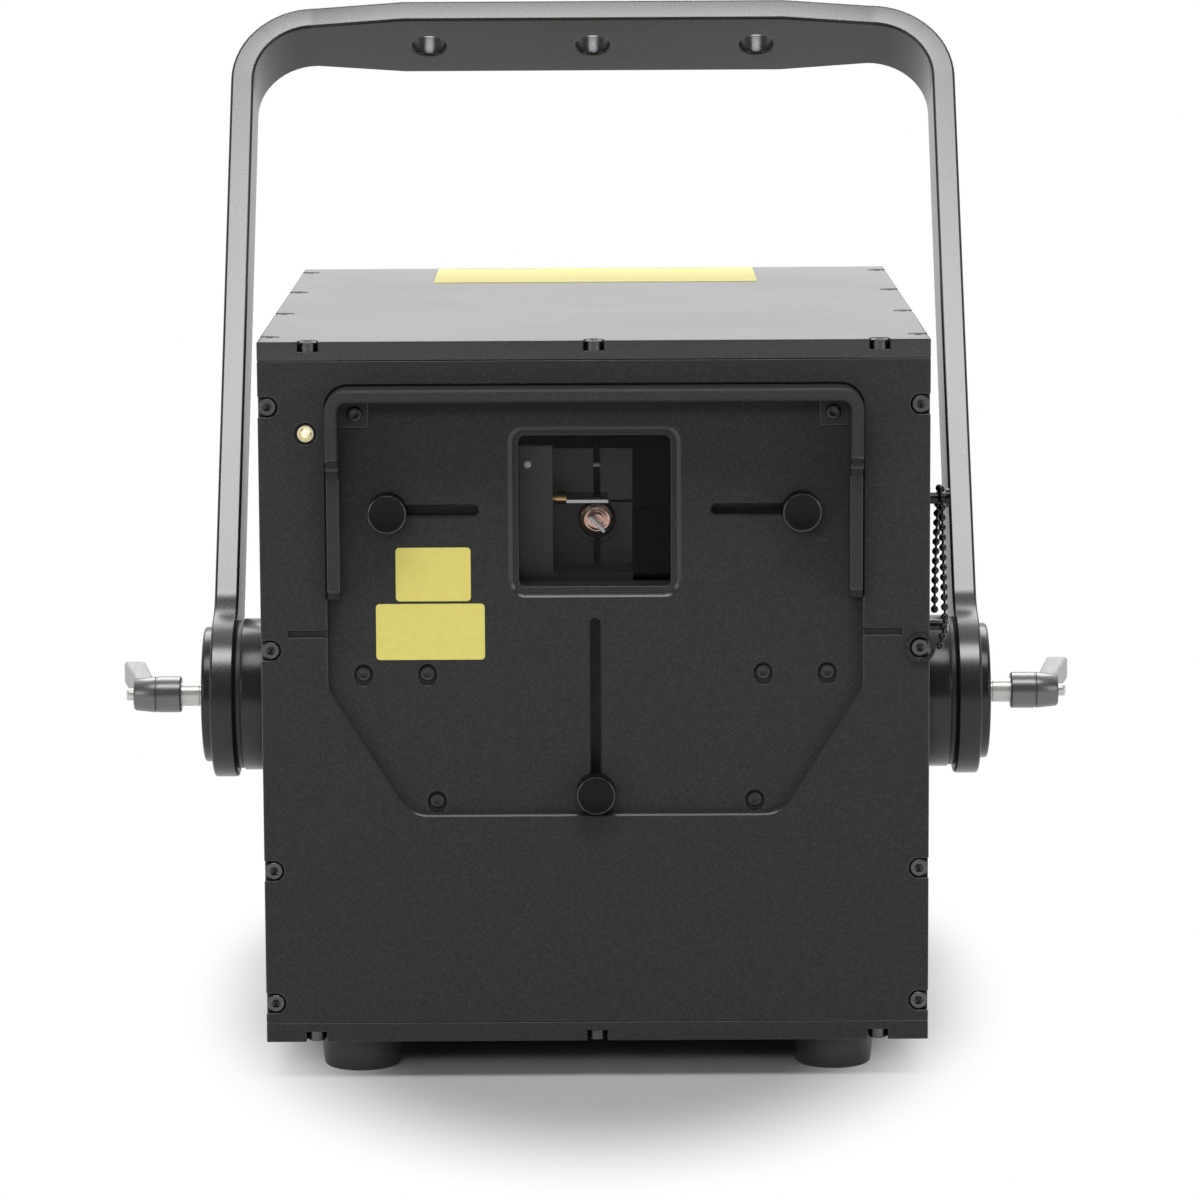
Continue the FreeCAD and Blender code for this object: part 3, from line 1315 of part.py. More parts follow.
def make_lower_bay():
    """Power supply and scanner driver on the bottom plate, control board on the rear sockets."""
    supply = new_body("power_supply")
    box = sketch_on(supply, "XY_Plane", "inner_low")
    rectangle(box, "bay_left", "bay_left + supply_width", "bay_front_y", "bay_back_y")
    pad(supply, box, "supply_height")
    sub_part(supply, "power_supply")
    driver = new_body("scanner_driver")
    plate_y = "(bay_front_y + driver_fin_height)"
    foot = sketch_on(driver, "XY_Plane", "inner_low")
    rectangle(foot, "driver_left", "bay_right", plate_y, plate_y + " + driver_foot_depth")
    pad(driver, foot, "driver_foot")
    height = "(bench_z - inner_low - driver_head_gap)"
    upright = sketch_on(driver, "XY_Plane", "inner_low")
    rectangle(upright, "driver_left", "bay_right", plate_y, plate_y + " + driver_foot")
    pad(driver, upright, height)
    fins = sketch_on(driver, "XY_Plane", "inner_low + driver_foot")
    pitch = "(bay_right - driver_left - driver_fin_thickness) / 5"
    for count in range(6):
        across = "driver_left + %d * %s" % (count, pitch)
        rectangle(fins, across, across + " + driver_fin_thickness", "bay_front_y", plate_y)
    pad(driver, fins, height + " - driver_foot")
    sub_part(driver, "scanner_driver")
    board = new_body("control_board")
    back = "(back_y - rear_thickness - socket_length)"
    sheet_of_board = front_sketch(board, back + " - board_thickness")
    middle = "(socket_low_height + socket_pitch / 2)"
    centred(sheet_of_board, "socket_x", middle, "board_width", "board_height")
    pad(board, sheet_of_board, "board_thickness", backwards=True)
    chips = front_sketch(board, back + " - board_thickness")
    centred(chips, "(socket_x - board_width / 4)", middle, "board_width / 4", "board_height / 2")
    centred(chips, "(socket_x + board_width / 4)", middle, "board_width / 5", "board_height / 3")
    pad(board, chips, "board_parts_height")
    sub_part(board, "control_board")


def make_fan():
    frame = new_body("fan_frame")
    box = front_sketch(frame, "fan_y")
    centred(box, "fan_x", "fan_height", "fan_size", "fan_size")
    circle(box, "fan_x", "fan_height", "fan_bore")
    pad(frame, box, "fan_depth", backwards=True)
    struts = front_sketch(frame, "fan_y")
    centred(struts, "fan_x", "fan_height", "(fan_bore + fan_blade_gap)", "fan_strut")
    pad(frame, struts, "fan_strut / 2", backwards=True)
    hub = front_sketch(frame, "fan_y")
    circle(hub, "fan_x", "fan_height", "fan_hub")
    pad(frame, hub, "fan_strut / 2", backwards=True)
    pin = front_sketch(frame, "fan_y")
    circle(pin, "fan_x", "fan_height", "fan_shaft")
    pad(frame, pin, "fan_depth / 2", backwards=True)
    sub_part(frame, "fan_frame")
    make_fan_rotor()


def make_fan_rotor():
    """Hub with pitched blades, turning on the frame's pin."""
    body = new_body("fan_rotor")
    start = "(fan_strut / 2 + fan_blade_gap)"
    depth = "(fan_depth - fan_strut / 2 - 2 * fan_blade_gap)"
    hub = sketch_on(body, "XY_Plane", start)
    circle(hub, "0", "0", "fan_hub")
    pad(body, hub, depth)
    blade = sketch_on(body, "XZ_Plane", "fan_hub / 2 - fan_blade_gap * 2")
    lean = "(%s / 2 * tan(fan_blade_pitch))" % depth
    inset, thick = "fan_blade_gap", "fan_blade_thickness / 2"
    low, high = start + " + " + inset, start + " + " + depth + " - " + inset
    outline(blade, [("-%s - %s" % (lean, thick), low), ("-%s + %s" % (lean, thick), low),
                    ("%s + %s" % (lean, thick), high), ("%s - %s" % (lean, thick), high)])
    fin = pad(body, blade, "fan_bore / 2 - fan_hub / 2 - fan_blade_gap")
    ring = body.newObject("PartDesign::PolarPattern", "fan_blades")
    ring.Originals = [fin]
    ring.Axis = ([item for item in body.Origin.OriginFeatures if item.Role == "Z_Axis"][0], [""])
    ring.Angle = 360
    ring.Occurrences = 7
    body.Tip = ring
    hole = sketch_on(body, "XY_Plane", "0")
    circle(hole, "0", "0", "(fan_shaft + fan_shaft_fit)")
    pocket(body, hole, "fan_depth / 2 + fan_blade_gap", backwards=True)
    place(body, "fan_x", "fan_y", "fan_height", (1, 0, 0), "-90")
    sub_part(body, "fan_rotor")


def make_rear_fittings():
    inlet = new_body("mains_inlet")
    flange = front_sketch(inlet, "back_y")
    centred(flange, "inlet_x", "inlet_height", "(inlet_width + 2 * inlet_flange)",
            "(inlet_tall + 2 * inlet_flange)")
    pad(inlet, flange, "inlet_flange_thickness", backwards=True)
    shell = front_sketch(inlet, "back_y")
    centred(shell, "inlet_x", "inlet_height", "inlet_width", "inlet_tall")
    pad(inlet, shell, "inlet_length")
    cavity = front_sketch(inlet, "back_y + inlet_flange_thickness")
    wall = "inlet_flange_thickness"
    centred(cavity, "inlet_x", "inlet_height", "(inlet_width - 2 * %s)" % wall,
            "(inlet_tall - 2 * %s)" % wall)
    pocket(inlet, cavity, "inlet_length * 0.7", backwards=True)
    sub_part(inlet, "mains_inlet")
    make_signal_sockets()
    make_interlock_socket()
    make_key_switch()


def make_signal_sockets():
    """Two multi-pole sockets: flange, D-shaped shell and body behind the panel."""
    body = new_body("signal_socket")
    flange = front_sketch(body, "0")
    centred(flange, "0", "0", "socket_flange_width", "socket_flange_tall")
    pad(body, flange, "socket_flange_thickness", backwards=True)
    rear = front_sketch(body, "0")
    centred(rear, "0", "0", "socket_width", "socket_tall")
    pad(body, rear, "socket_length + rear_thickness")
    shell = front_sketch(body, "0")
    slope = "socket_tall / 6"
    outline(shell, [("-socket_width / 2 + %s" % slope, "-socket_tall / 2"),
                    ("socket_width / 2 - %s" % slope, "-socket_tall / 2"),
                    ("socket_width / 2", "socket_tall / 2"), ("-socket_width / 2", "socket_tall / 2")])
    pad(body, shell, "socket_reach", backwards=True)
    spots = [vector("socket_x", "back_y", "socket_low_height + %d * socket_pitch" % count)
             for count in range(2)]
    group("signal_sockets", copies(body, spots))


def make_interlock_socket():
    radius = "(interlock_diameter / 2)"
    lip = "(%s + inlet_flange)" % radius
    bore = "(%s - inlet_flange_thickness)" % radius
    body = turned_body("interlock_socket", [
        ("0", "-inlet_length"), (radius, "-inlet_length"), (radius, "0"), (lip, "0"),
        (lip, "inlet_flange_thickness"),
        (bore, "inlet_flange_thickness"), (bore, "-rear_thickness"), ("0", "-rear_thickness")])
    place(body, "interlock_x", "back_y", "interlock_height", (1, 0, 0), "-90")
    sub_part(body, "interlock_socket")


def make_key_switch():
    """Lock barrel with a slot, and its key, whose stem turns inside the barrel's bore."""
    radius = "(key_barrel / 2)"
    stem = "(key_stem / 2 + key_clearance)"
    body = turned_body("key_barrel", [
        ("0", "-key_barrel_length"), (radius, "-key_barrel_length"), (radius, "0"), ("key_flange / 2", "0"),
        ("key_flange / 2", "key_flange_thickness"), (stem, "key_flange_thickness"),
        (stem, "key_flange_thickness - key_slot_depth"), ("0", "key_flange_thickness - key_slot_depth")])
    key = turned_body("key", [("0", "key_flange_thickness - key_slot_depth + key_clearance"),
                              ("key_stem / 2", "key_flange_thickness - key_slot_depth + key_clearance"),
                              ("key_stem / 2", "key_flange_thickness + key_clearance + key_bow / 3"),
                              ("0", "key_flange_thickness + key_clearance + key_bow / 3")])
    bow = sketch_on(key, "XZ_Plane", "-key_thickness / 2")
    circle(bow, "0", "key_flange_thickness + key_clearance + key_bow / 2", "key_bow")
    pad(key, bow, "key_thickness")
    loop = sketch_on(key, "XZ_Plane", "-key_thickness / 2")
    circle(loop, "0", "key_flange_thickness + key_clearance + key_bow * 0.72", "key_bow / 4")
    pocket(key, loop, None, backwards=True)
    for piece, label in ((body, "key_barrel"), (key, "key")):
        place(piece, "key_x", "back_y", "key_z", (1, 0, 0), "-90")
        sub_part(piece, label)


def check_and_write():
    """Stop on any failed object or bad shape, then write each sub-part to its own file."""
    doc.recompute()
    for thing in doc.Objects:
        if "Invalid" in thing.State or "Error" in thing.State:
            raise RuntimeError("failed: %s %s" % (thing.Name, thing.State))
    for thing in sub_parts:
        shape = thing.Shape
        if shape.isNull() or not shape.isValid() or not shape.Solids:
            raise RuntimeError("bad shape: " + thing.Label)
    os.makedirs("parts", exist_ok=True)
    for thing in sub_parts:
        thing.Shape.exportStep("parts/%s.step" % thing.Label)
    box = Part.makeCompound([thing.Shape for thing in sub_parts]).BoundBox
    print("%d sub-parts" % len(sub_parts))
    sides = (box.XMin, box.XMax, box.YMin, box.YMax, box.ZMin, box.ZMax)
    print("box x %.2f %.2f  y %.2f %.2f  z %.2f %.2f" % sides)


fill_sheet()
make_front_panel()
make_hood()
make_lids()
make_side_panels()
make_rear_panel()
make_case_screws()
make_flat_screws()
make_mask_cover()
make_masks()
make_lamp()
make_feet()
make_pivots()
make_yoke()
make_levers()
make_chain()
make_bench()
make_scanner()
make_lasers()
make_lower_bay()
make_fan()
make_rear_fittings()
check_and_write()
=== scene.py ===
"""Looks of a laser show projector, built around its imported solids."""

import math

import bmesh
import bpy
from bpy.props import FloatProperty, FloatVectorProperty, PointerProperty
from bpy.types import Operator, Panel, PropertyGroup
from mathutils import Matrix, Vector


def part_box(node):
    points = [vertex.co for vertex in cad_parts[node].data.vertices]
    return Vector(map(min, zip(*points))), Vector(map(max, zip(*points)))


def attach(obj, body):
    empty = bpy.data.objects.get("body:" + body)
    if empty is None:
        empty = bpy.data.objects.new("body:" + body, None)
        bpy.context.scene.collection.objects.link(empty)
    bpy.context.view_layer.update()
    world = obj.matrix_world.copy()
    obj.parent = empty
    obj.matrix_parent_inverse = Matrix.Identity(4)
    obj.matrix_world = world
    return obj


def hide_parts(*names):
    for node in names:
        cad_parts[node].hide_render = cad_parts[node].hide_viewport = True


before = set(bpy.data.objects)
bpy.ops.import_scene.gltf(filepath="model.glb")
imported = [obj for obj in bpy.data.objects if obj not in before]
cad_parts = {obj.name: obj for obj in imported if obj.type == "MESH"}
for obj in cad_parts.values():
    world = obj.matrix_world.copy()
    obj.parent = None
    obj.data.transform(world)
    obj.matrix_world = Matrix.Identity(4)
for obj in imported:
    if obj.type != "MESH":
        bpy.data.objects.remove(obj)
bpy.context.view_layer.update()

bl_info = {
    "name": "Laser Show Projector",
    "version": (1, 0, 0),
    "blender": (4, 5, 0),
    "location": "View3D > Sidebar > Projector",
    "description": "Dresses the solids of a laser show projector and sets its studio",
    "category": "Object",
}


def middle_of(node):
    """Middle of a node's box."""
    low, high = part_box(node)
    return (low + high) / 2


MM = 0.001
LEFT_RIGHT = (("left", -1), ("right", 1))

# Directions in the projector's frame
FORWARD = Vector((0, -1, 0))
BACKWARD = Vector((0, 1, 0))
UPWARD = Vector((0, 0, 1))

# Distances at which points are merged or count as level, and turns at which faces are one or an edge is sharp
MERGED = 1e-6
LEVEL = 1e-5
FLAT_TURN = math.radians(0.5)
SHARP_TURN = math.radians(36)

# Places read from the solids
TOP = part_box("top_plate")[1].z
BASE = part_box("bottom_plate")[0].z
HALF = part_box("top_plate")[1].x
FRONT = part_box("front_panel")[0].y
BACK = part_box("rear_panel")[1].y
PIVOT = middle_of("outer_washers")
PIVOT.x = 0

# Floor of the front panel's pocket, lean of the yoke at rest and depth of the signal sockets' mouths
POCKET = FRONT + 4 * MM
LEAN = math.radians(34)
SOCKET_DEPTH = 5 * MM

# Route of the chain as (out from the side, depth from the front, drop from the top) in millimetres
CHAIN_ROUTE = ((3.2, -0.4, 94.4), (4.9, 2.2, 89), (4.7, 5.2, 78), (4.4, 8, 65), (4.1, 10.1, 47.1),
               (3.6, 16.8, 47.4), (3.2, 19.4, 62), (2.9, 20.8, 76), (2.8, 21, 86.4))


class CaseFinish(PropertyGroup):
    """Colours of the black plates and bars"""
    plate: FloatVectorProperty(name="Plate", description="Colour of the anodised plates", subtype="COLOR",
                               size=4, min=0, max=1, default=(0.042, 0.042, 0.0425, 1))
    speckle: FloatVectorProperty(name="Speckle", description="Colour of the fine light grain in the plates",
                                 subtype="COLOR", size=4, min=0, max=1, default=(0.058, 0.058, 0.059, 1))
    bar: FloatVectorProperty(name="Bar", description="Colour of the yoke and its pivots", subtype="COLOR",
                             size=4, min=0, max=1, default=(0.012, 0.013, 0.0135, 1))
    bar_light: FloatVectorProperty(name="Bar grain", description="Colour of the grain in the yoke",
                                   subtype="COLOR", size=4, min=0, max=1, default=(0.02, 0.0215, 0.0225, 1))
    grain: FloatProperty(name="Grain", description="Grains in a metre", default=1500, min=10)
    edge: FloatProperty(name="Edge", description="Width of the broken edges of the plates", unit="LENGTH",
                        default=0.35 * MM, min=0)
    bar_edge: FloatProperty(name="Bar edge", description="Width of the yoke's chamfers", unit="LENGTH",
                            default=0.9 * MM, min=0)


class ScrewSizes(PropertyGroup):
    """Sizes of the case's screws"""
    head: FloatProperty(name="Head", description="Diameter of a screw head", unit="LENGTH", default=5.5 * MM)
    tall: FloatProperty(name="Height", description="Height of a socket head", unit="LENGTH", default=3 * MM)
    flat: FloatProperty(name="Flat height", description="Height of a flat head", unit="LENGTH",
                        default=1.1 * MM)
    small: FloatProperty(name="Flat head", description="Diameter of a flat head", unit="LENGTH",
                         default=4.6 * MM)
    socket: FloatProperty(name="Socket", description="Width of the hex socket over its flats", unit="LENGTH",
                          default=2.5 * MM)
    inset: FloatProperty(name="Inset", description="From a plate's edge to the screws", unit="LENGTH",
                         default=3 * MM)
    depth: FloatProperty(name="Depth", description="Depth of the notches that hold the heads", unit="LENGTH",
                         default=3.2 * MM)


class ChainSizes(PropertyGroup):
    """Sizes of the bead chain"""
    bead: FloatProperty(name="Bead", description="Diameter of a bead", unit="LENGTH", default=2.4 * MM)
    pitch: FloatProperty(name="Pitch", description="From bead to bead", unit="LENGTH", default=3.05 * MM)
    link: FloatProperty(name="Link", description="Diameter of the links between the beads", unit="LENGTH",
                        default=0.8 * MM)


class StickerLook(PropertyGroup):
    """Blank stickers"""
    colour: FloatVectorProperty(name="Colour", description="Colour of the stickers", subtype="COLOR", size=4,
                                min=0, max=1, default=(0.88, 0.78, 0.2, 1))
    thickness: FloatProperty(name="Thickness", description="Thickness of a sticker", unit="LENGTH",
                             default=0.15 * MM)
    corner: FloatProperty(name="Corner", description="Radius of a sticker's corners", unit="LENGTH",
                          default=1.2 * MM)


class StageLook(PropertyGroup):
    """Floor, light and camera"""
    floor: FloatVectorProperty(name="Floor", description="Colour of the floor", subtype="COLOR", size=4,
                               min=0, max=1, default=(0.6, 0.6, 0.6, 1))
    ambient: FloatProperty(name="Ambient", description="Strength of the light from all round", default=0.06)
    dim: FloatProperty(name="Dim", description="Brightness of the studio in front, as gloss shows it",
                       default=0.15)
    strip: FloatProperty(name="Strip", description="Power of the strip light above the front", unit="POWER",
                         default=17)
    back: FloatProperty(name="Back", description="Power of the soft light behind", unit="POWER", default=24)
    fill: FloatProperty(name="Fill", description="Power of the soft light above the camera", unit="POWER",
                        default=7)
    side: FloatProperty(name="Side", description="Power of each soft light at the sides", unit="POWER",
                        default=3)
    shadow: FloatVectorProperty(name="Shadow reach", description="How far the shadow reaches over the floor",
                                subtype="XYZ", unit="LENGTH", size=2, default=(0.14, 0.285))
    focal: FloatProperty(name="Lens", description="Focal length on a 36 mm wide sensor", unit="CAMERA",
                         default=152.34)
    eye: FloatVectorProperty(name="Eye", description="Place of the camera", subtype="TRANSLATION", size=3,
                             default=(0.00151, FRONT - 1.537, 0.3814))
    pitch: FloatProperty(name="Pitch", description="How far the camera looks down", subtype="ANGLE",
                         default=0.1493)
    roll: FloatProperty(name="Roll", description="How far the camera leans", subtype="ANGLE", default=-0.0053)


# Node helpers

def new_tree(name, kind, inputs, outputs):
    """Node tree with its named sockets, its input node and its output node."""
    tree = bpy.data.node_groups.new(name, kind)
    for way, sockets in (("OUTPUT", outputs), ("INPUT", inputs)):
        for label, socket in sockets.items():
            tree.interface.new_socket(label, in_out=way, socket_type="NodeSocket" + socket)
    return tree, tree.nodes.new("NodeGroupInput"), tree.nodes.new("NodeGroupOutput")


def feed(tree, socket, amount):
    """Set a socket to a number, or link it to another node's socket."""
    if isinstance(amount, (int, float)):
        socket.default_value = amount
    else:
        tree.links.new(amount, socket)


def worked_out(tree, operation, first, second):
    """Result of one math step on two numbers or sockets."""
    node = tree.nodes.new("ShaderNodeMath")
    node.operation = operation
    feed(tree, node.inputs[0], first)
    feed(tree, node.inputs[1], second)
    return node.outputs[0]


def noise(tree, vector, scale, detail):
    """Noise texture on a vector, whose scale is a number or a socket."""
    node = tree.nodes.new("ShaderNodeTexNoise")
    node.inputs["Detail"].default_value = detail
    tree.links.new(vector, node.inputs["Vector"])
    feed(tree, node.inputs["Scale"], scale)
    return node.outputs["Fac"]


def spread(tree, value, low, high, to_low, to_high):
    """Map a value from one span to another."""
    node = tree.nodes.new("ShaderNodeMapRange")
    tree.links.new(value, node.inputs["Value"])
    ends = ("From Min", "From Max", "To Min", "To Max")
    for label, amount in zip(ends, (low, high, to_low, to_high)):
        feed(tree, node.inputs[label], amount)
    return node.outputs["Result"]


def blend_colour(tree, factor, first, second):
    """Mix of two colours."""
    node = tree.nodes.new("ShaderNodeMix")
    node.data_type = "RGBA"
    tree.links.new(factor, node.inputs["Factor"])
    tree.links.new(first, node.inputs["A"])
    tree.links.new(second, node.inputs["B"])
    return node.outputs["Result"]


# Shader groups that several finishes share

def skin_group(name, own_label, own_kind):
    """Shader group with the sockets of every skin and one input of its own."""
    inputs = {"Vector": "Vector", own_label: own_kind, "Dark": "Color", "Light": "Color",
              "Low Roughness": "Float", "High Roughness": "Float"}
    outputs = {"Color": "Color", "Roughness": "Float", "Height": "Float"}
    return new_tree(name, "ShaderNodeTree", inputs, outputs)


def end_skin(group, inside, outside, marks, light_span, veil=0.0):
    """Let a pattern of marks choose the colour, roughness and height, with a veil over the roughness."""
    gloss_span = (0.3, 0.7)
    mask = spread(group, marks, *light_span, 0.0, 1.0)
    colour = blend_colour(group, mask, inside.outputs["Dark"], inside.outputs["Light"])
    low_rough = inside.outputs["Low Roughness"]
    high_rough = inside.outputs["High Roughness"]
    gloss = spread(group, marks, *gloss_span, low_rough, high_rough)
    rough = worked_out(group, "ADD", gloss, veil)
    for label, value in (("Color", colour), ("Roughness", rough), ("Height", marks)):
        group.links.new(value, outside.inputs[label])


def grain_group():
    """Fine grain of an anodised or moulded skin, with large faint smudges in its gloss."""
    smudges = 14.0
    faint = 0.015
    group, inside, outside = skin_group("Skin Grain", "Grains", "Float")
    coords = inside.outputs["Vector"]
    fine = noise(group, coords, inside.outputs["Grains"], detail=3.0)
    smudge = noise(group, coords, smudges, detail=4.0)
    veil = spread(group, smudge, 0.35, 0.65, -faint, faint)
    end_skin(group, inside, outside, fine, (0.42, 0.72), veil)
    return group


def brush_group():
    """Long scratches of turned, drawn or brushed metal, along one direction."""
    group, inside, outside = skin_group("Brush Marks", "Stretch", "Vector")
    scale = group.nodes.new("ShaderNodeVectorMath")
    scale.operation = "MULTIPLY"
    group.links.new(inside.outputs["Vector"], scale.inputs[0])
    group.links.new(inside.outputs["Stretch"], scale.inputs[1])
    marks = noise(group, scale.outputs["Vector"], 1.0, detail=4.0)
    end_skin(group, inside, outside, marks, (0.35, 0.65))
    return group


def opaque(colour):
    """Colour with full cover."""
    return (*tuple(colour)[:3], 1)


def grey(value, tint=0.0):
    """Grey that a tint makes bluer."""
    return (value, value * (1 + tint / 2), value * (1 + tint))


class Finishes:
    """Every material of the projector, made once and asked for by name."""

    def __init__(self):
        self.grain = grain_group()
        self.brush = brush_group()
        self.made = {}

    def new(self, name, group, dark, light, rough, bump, sockets):
        """Material whose colour, gloss and relief come from a shared group."""
        relief_height = 0.05 * MM
        material = bpy.data.materials.new(name)
        material.use_nodes = True
        tree = material.node_tree
        shader = tree.nodes["Principled BSDF"]
        coords = tree.nodes.new("ShaderNodeTexCoord")
        skin = tree.nodes.new("ShaderNodeGroup")
        skin.node_tree = group
        tree.links.new(coords.outputs["Object"], skin.inputs["Vector"])
        skin.inputs["Dark"].default_value = opaque(dark)
        skin.inputs["Light"].default_value = opaque(light)
        skin.inputs["Low Roughness"].default_value = rough[0]
        skin.inputs["High Roughness"].default_value = rough[1]
        tree.links.new(skin.outputs["Color"], shader.inputs["Base Color"])
        tree.links.new(skin.outputs["Roughness"], shader.inputs["Roughness"])
        relief = tree.nodes.new("ShaderNodeBump")
        relief.inputs["Strength"].default_value = bump
        relief.inputs["Distance"].default_value = relief_height
        tree.links.new(skin.outputs["Height"], relief.inputs["Height"])
        tree.links.new(relief.outputs["Normal"], shader.inputs["Normal"])
        for label, amount in sockets.items():
            shader.inputs[label.replace("_", " ")].default_value = amount
        material.diffuse_color = opaque(dark)
        self.made[name] = (material, shader)
        return skin

    def grained(self, name, dark, light, rough, bump, grains=1500.0, **sockets):
        """Anodised, painted or moulded finish."""
        skin = self.new(name, self.grain, dark, light, rough, bump, sockets)
        skin.inputs["Grains"].default_value = grains

    def brushed(self, name, dark, light, rough, bump, stretch=(900, 900, 900), metal=1.0):
        """Bare or plated metal finish."""
        skin = self.new(name, self.brush, dark, light, rough, bump, {"Metallic": metal})
        skin.inputs["Stretch"].default_value = stretch

    def coat_on_faces(self, name, facing):
        """Gloss coat on the faces that look in one direction of the piece itself."""
        near_span = (0.86, 0.99)
        material, shader = self.made[name]
        tree = material.node_tree
        coords = tree.nodes.new("ShaderNodeTexCoord")
        along = tree.nodes.new("ShaderNodeVectorMath")
        along.operation = "DOT_PRODUCT"
        along.inputs[1].default_value = facing
        tree.links.new(coords.outputs["Normal"], along.inputs[0])
        weight = spread(tree, along.outputs["Value"], *near_span, 0.0, 1.0)
        tree.links.new(weight, shader.inputs["Coat Weight"])

    def __getitem__(self, name):
        return self.made[name][0]


def make_finishes(case, stickers):
    """Set up all the materials."""
    bar_grain = case.grain * 1.4
    cool = (0.94, 0.98, 1, 1)
    along_x = (40, 900, 900)
    along_y = (900, 40, 900)
    faded = [part * 0.96 for part in stickers.colour]
    looks = Finishes()
    looks.grained("plate_black", case.plate, case.speckle, rough=(0.17, 0.24), bump=0.06, grains=case.grain,
                  IOR=1.1)
    looks.grained("plate_edge", grey(0.022), grey(0.03), rough=(0.22, 0.25), bump=0.004, grains=case.grain,
                  IOR=1.55)
    looks.grained("lid_black", case.plate, case.speckle, rough=(0.14, 0.2), bump=0.04, grains=case.grain,
                  IOR=1.45)
    looks.grained("hood_black", case.plate, case.speckle, rough=(0.28, 0.36), bump=0.06, grains=case.grain,
                  IOR=1.2)
    looks.grained("bar_black", case.bar, case.bar_light, rough=(0.25, 0.28), bump=0.004, grains=bar_grain,
                  IOR=1.5, Coat_IOR=1.76, Coat_Roughness=0.26, Coat_Tint=cool)
    looks.coat_on_faces("bar_black", (0, -math.cos(LEAN), math.sin(LEAN)))
    looks.grained("bar_edge", case.bar, case.bar_light, rough=(0.26, 0.29), bump=0.01, grains=bar_grain,
                  IOR=1.5)
    looks.grained("pivot_black", case.bar, case.bar_light, rough=(0.22, 0.26), bump=0.004, grains=bar_grain,
                  IOR=1.5, Specular_Tint=cool)
    looks.grained("blade_black", grey(0.024), grey(0.04), rough=(0.4, 0.5), bump=0.1)
    looks.grained("knob_black", grey(0.006), grey(0.01), rough=(0.3, 0.42), bump=0.1, IOR=1.25)
    looks.brushed("knob_rim", grey(0.06), grey(0.1), rough=(0.3, 0.4), bump=0.1)
    looks.grained("rubber_black", grey(0.04), grey(0.055), rough=(0.34, 0.44), bump=0.3, grains=900.0)
    looks.grained("lever_black", grey(0.05), grey(0.06), rough=(0.3, 0.34), bump=0.01, grains=2200.0, IOR=2.2)
    looks.brushed("lever_pale", grey(0.36), grey(0.43), rough=(0.34, 0.46), bump=0.1, stretch=(700, 60, 700),
                  metal=0.4)
    looks.brushed("stud_pale", (0.62, 0.62, 0.59), (0.72, 0.72, 0.69), rough=(0.25, 0.4), bump=0.1,
                  stretch=along_x, metal=0.5)
    looks.brushed("steel_black", grey(0.1), grey(0.14), rough=(0.3, 0.42), bump=0.1)
    looks.brushed("steel_dark", grey(0.06), grey(0.08), rough=(0.42, 0.5), bump=0.02)
    looks.brushed("steel_pale", grey(0.5), grey(0.62), rough=(0.25, 0.38), bump=0.1, stretch=(900, 900, 300))
    looks.brushed("chain_black", grey(0.025), grey(0.05), rough=(0.2, 0.32), bump=0.1)
    looks.brushed("brass_ring", (0.62, 0.58, 0.46), (0.74, 0.7, 0.58), rough=(0.2, 0.3), bump=0.1,
                  stretch=along_y)
    looks.brushed("copper", (0.62, 0.36, 0.27), (0.9, 0.66, 0.56), rough=(0.1, 0.2), bump=0.5,
                  stretch=(500, 500, 500))
    looks.brushed("gold", (0.5, 0.32, 0.12), (0.68, 0.46, 0.2), rough=(0.2, 0.3), bump=0.1, stretch=along_x)
    looks.brushed("nickel", grey(0.42), grey(0.46), rough=(0.32, 0.38), bump=0.01, stretch=along_y)
    looks.brushed("mirror_coat", grey(0.4, 0.06), grey(0.46, 0.06), rough=(0.03, 0.06), bump=0.0,
                  stretch=(60, 60, 60))
    looks.brushed("milled_aluminium", grey(0.42), grey(0.5), rough=(0.3, 0.42), bump=0.15,
                  stretch=(60, 800, 800))
    looks.grained("scanner_grey", grey(0.05), grey(0.064), rough=(0.36, 0.48), bump=0.2)
    looks.grained("module_black", grey(0.02), grey(0.032), rough=(0.35, 0.5), bump=0.2)
    looks.grained("board_green", (0.012, 0.07, 0.03), (0.02, 0.1, 0.045), rough=(0.3, 0.42), bump=0.1,
                  grains=700.0)
    looks.grained("moulded_black", grey(0.014), grey(0.022), rough=(0.4, 0.55), bump=0.3, grains=900.0)
    looks.grained("pane", grey(0.01), grey(0.014), rough=(0.02, 0.05), bump=0.0, grains=60.0, Alpha=0.1,
                  IOR=1.5)
    looks.grained("sticker_yellow", stickers.colour, faded, rough=(0.4, 0.5), bump=0.05, grains=500.0)
    looks.grained("lamp_glow", (0.92, 0.88, 0.62), (0.98, 0.95, 0.75), rough=(0.15, 0.25), bump=0.1,
                  grains=900.0, Emission_Color=(1.0, 0.93, 0.66, 1), Emission_Strength=0.5)
    return looks


LOOKS = None


def look(name):
    """Material of a finish."""
    return LOOKS[name]


# Mesh helpers

def placed(name, data):
    """New object in the scene."""
    made = bpy.data.objects.new(name, data)
    bpy.context.scene.collection.objects.link(made)
    return made


def mesh_of(bm, name):
    """Plain mesh of a bmesh, which is freed."""
    mesh_data = bpy.data.meshes.new(name)
    bm.to_mesh(mesh_data)
    bm.free()
    return mesh_data


def evaluated_mesh(holder):
    """Plain mesh of an object as its modifiers leave it."""
    bpy.context.view_layer.update()
    graph = bpy.context.evaluated_depsgraph_get()
    return bpy.data.meshes.new_from_object(holder.evaluated_get(graph), depsgraph=graph)


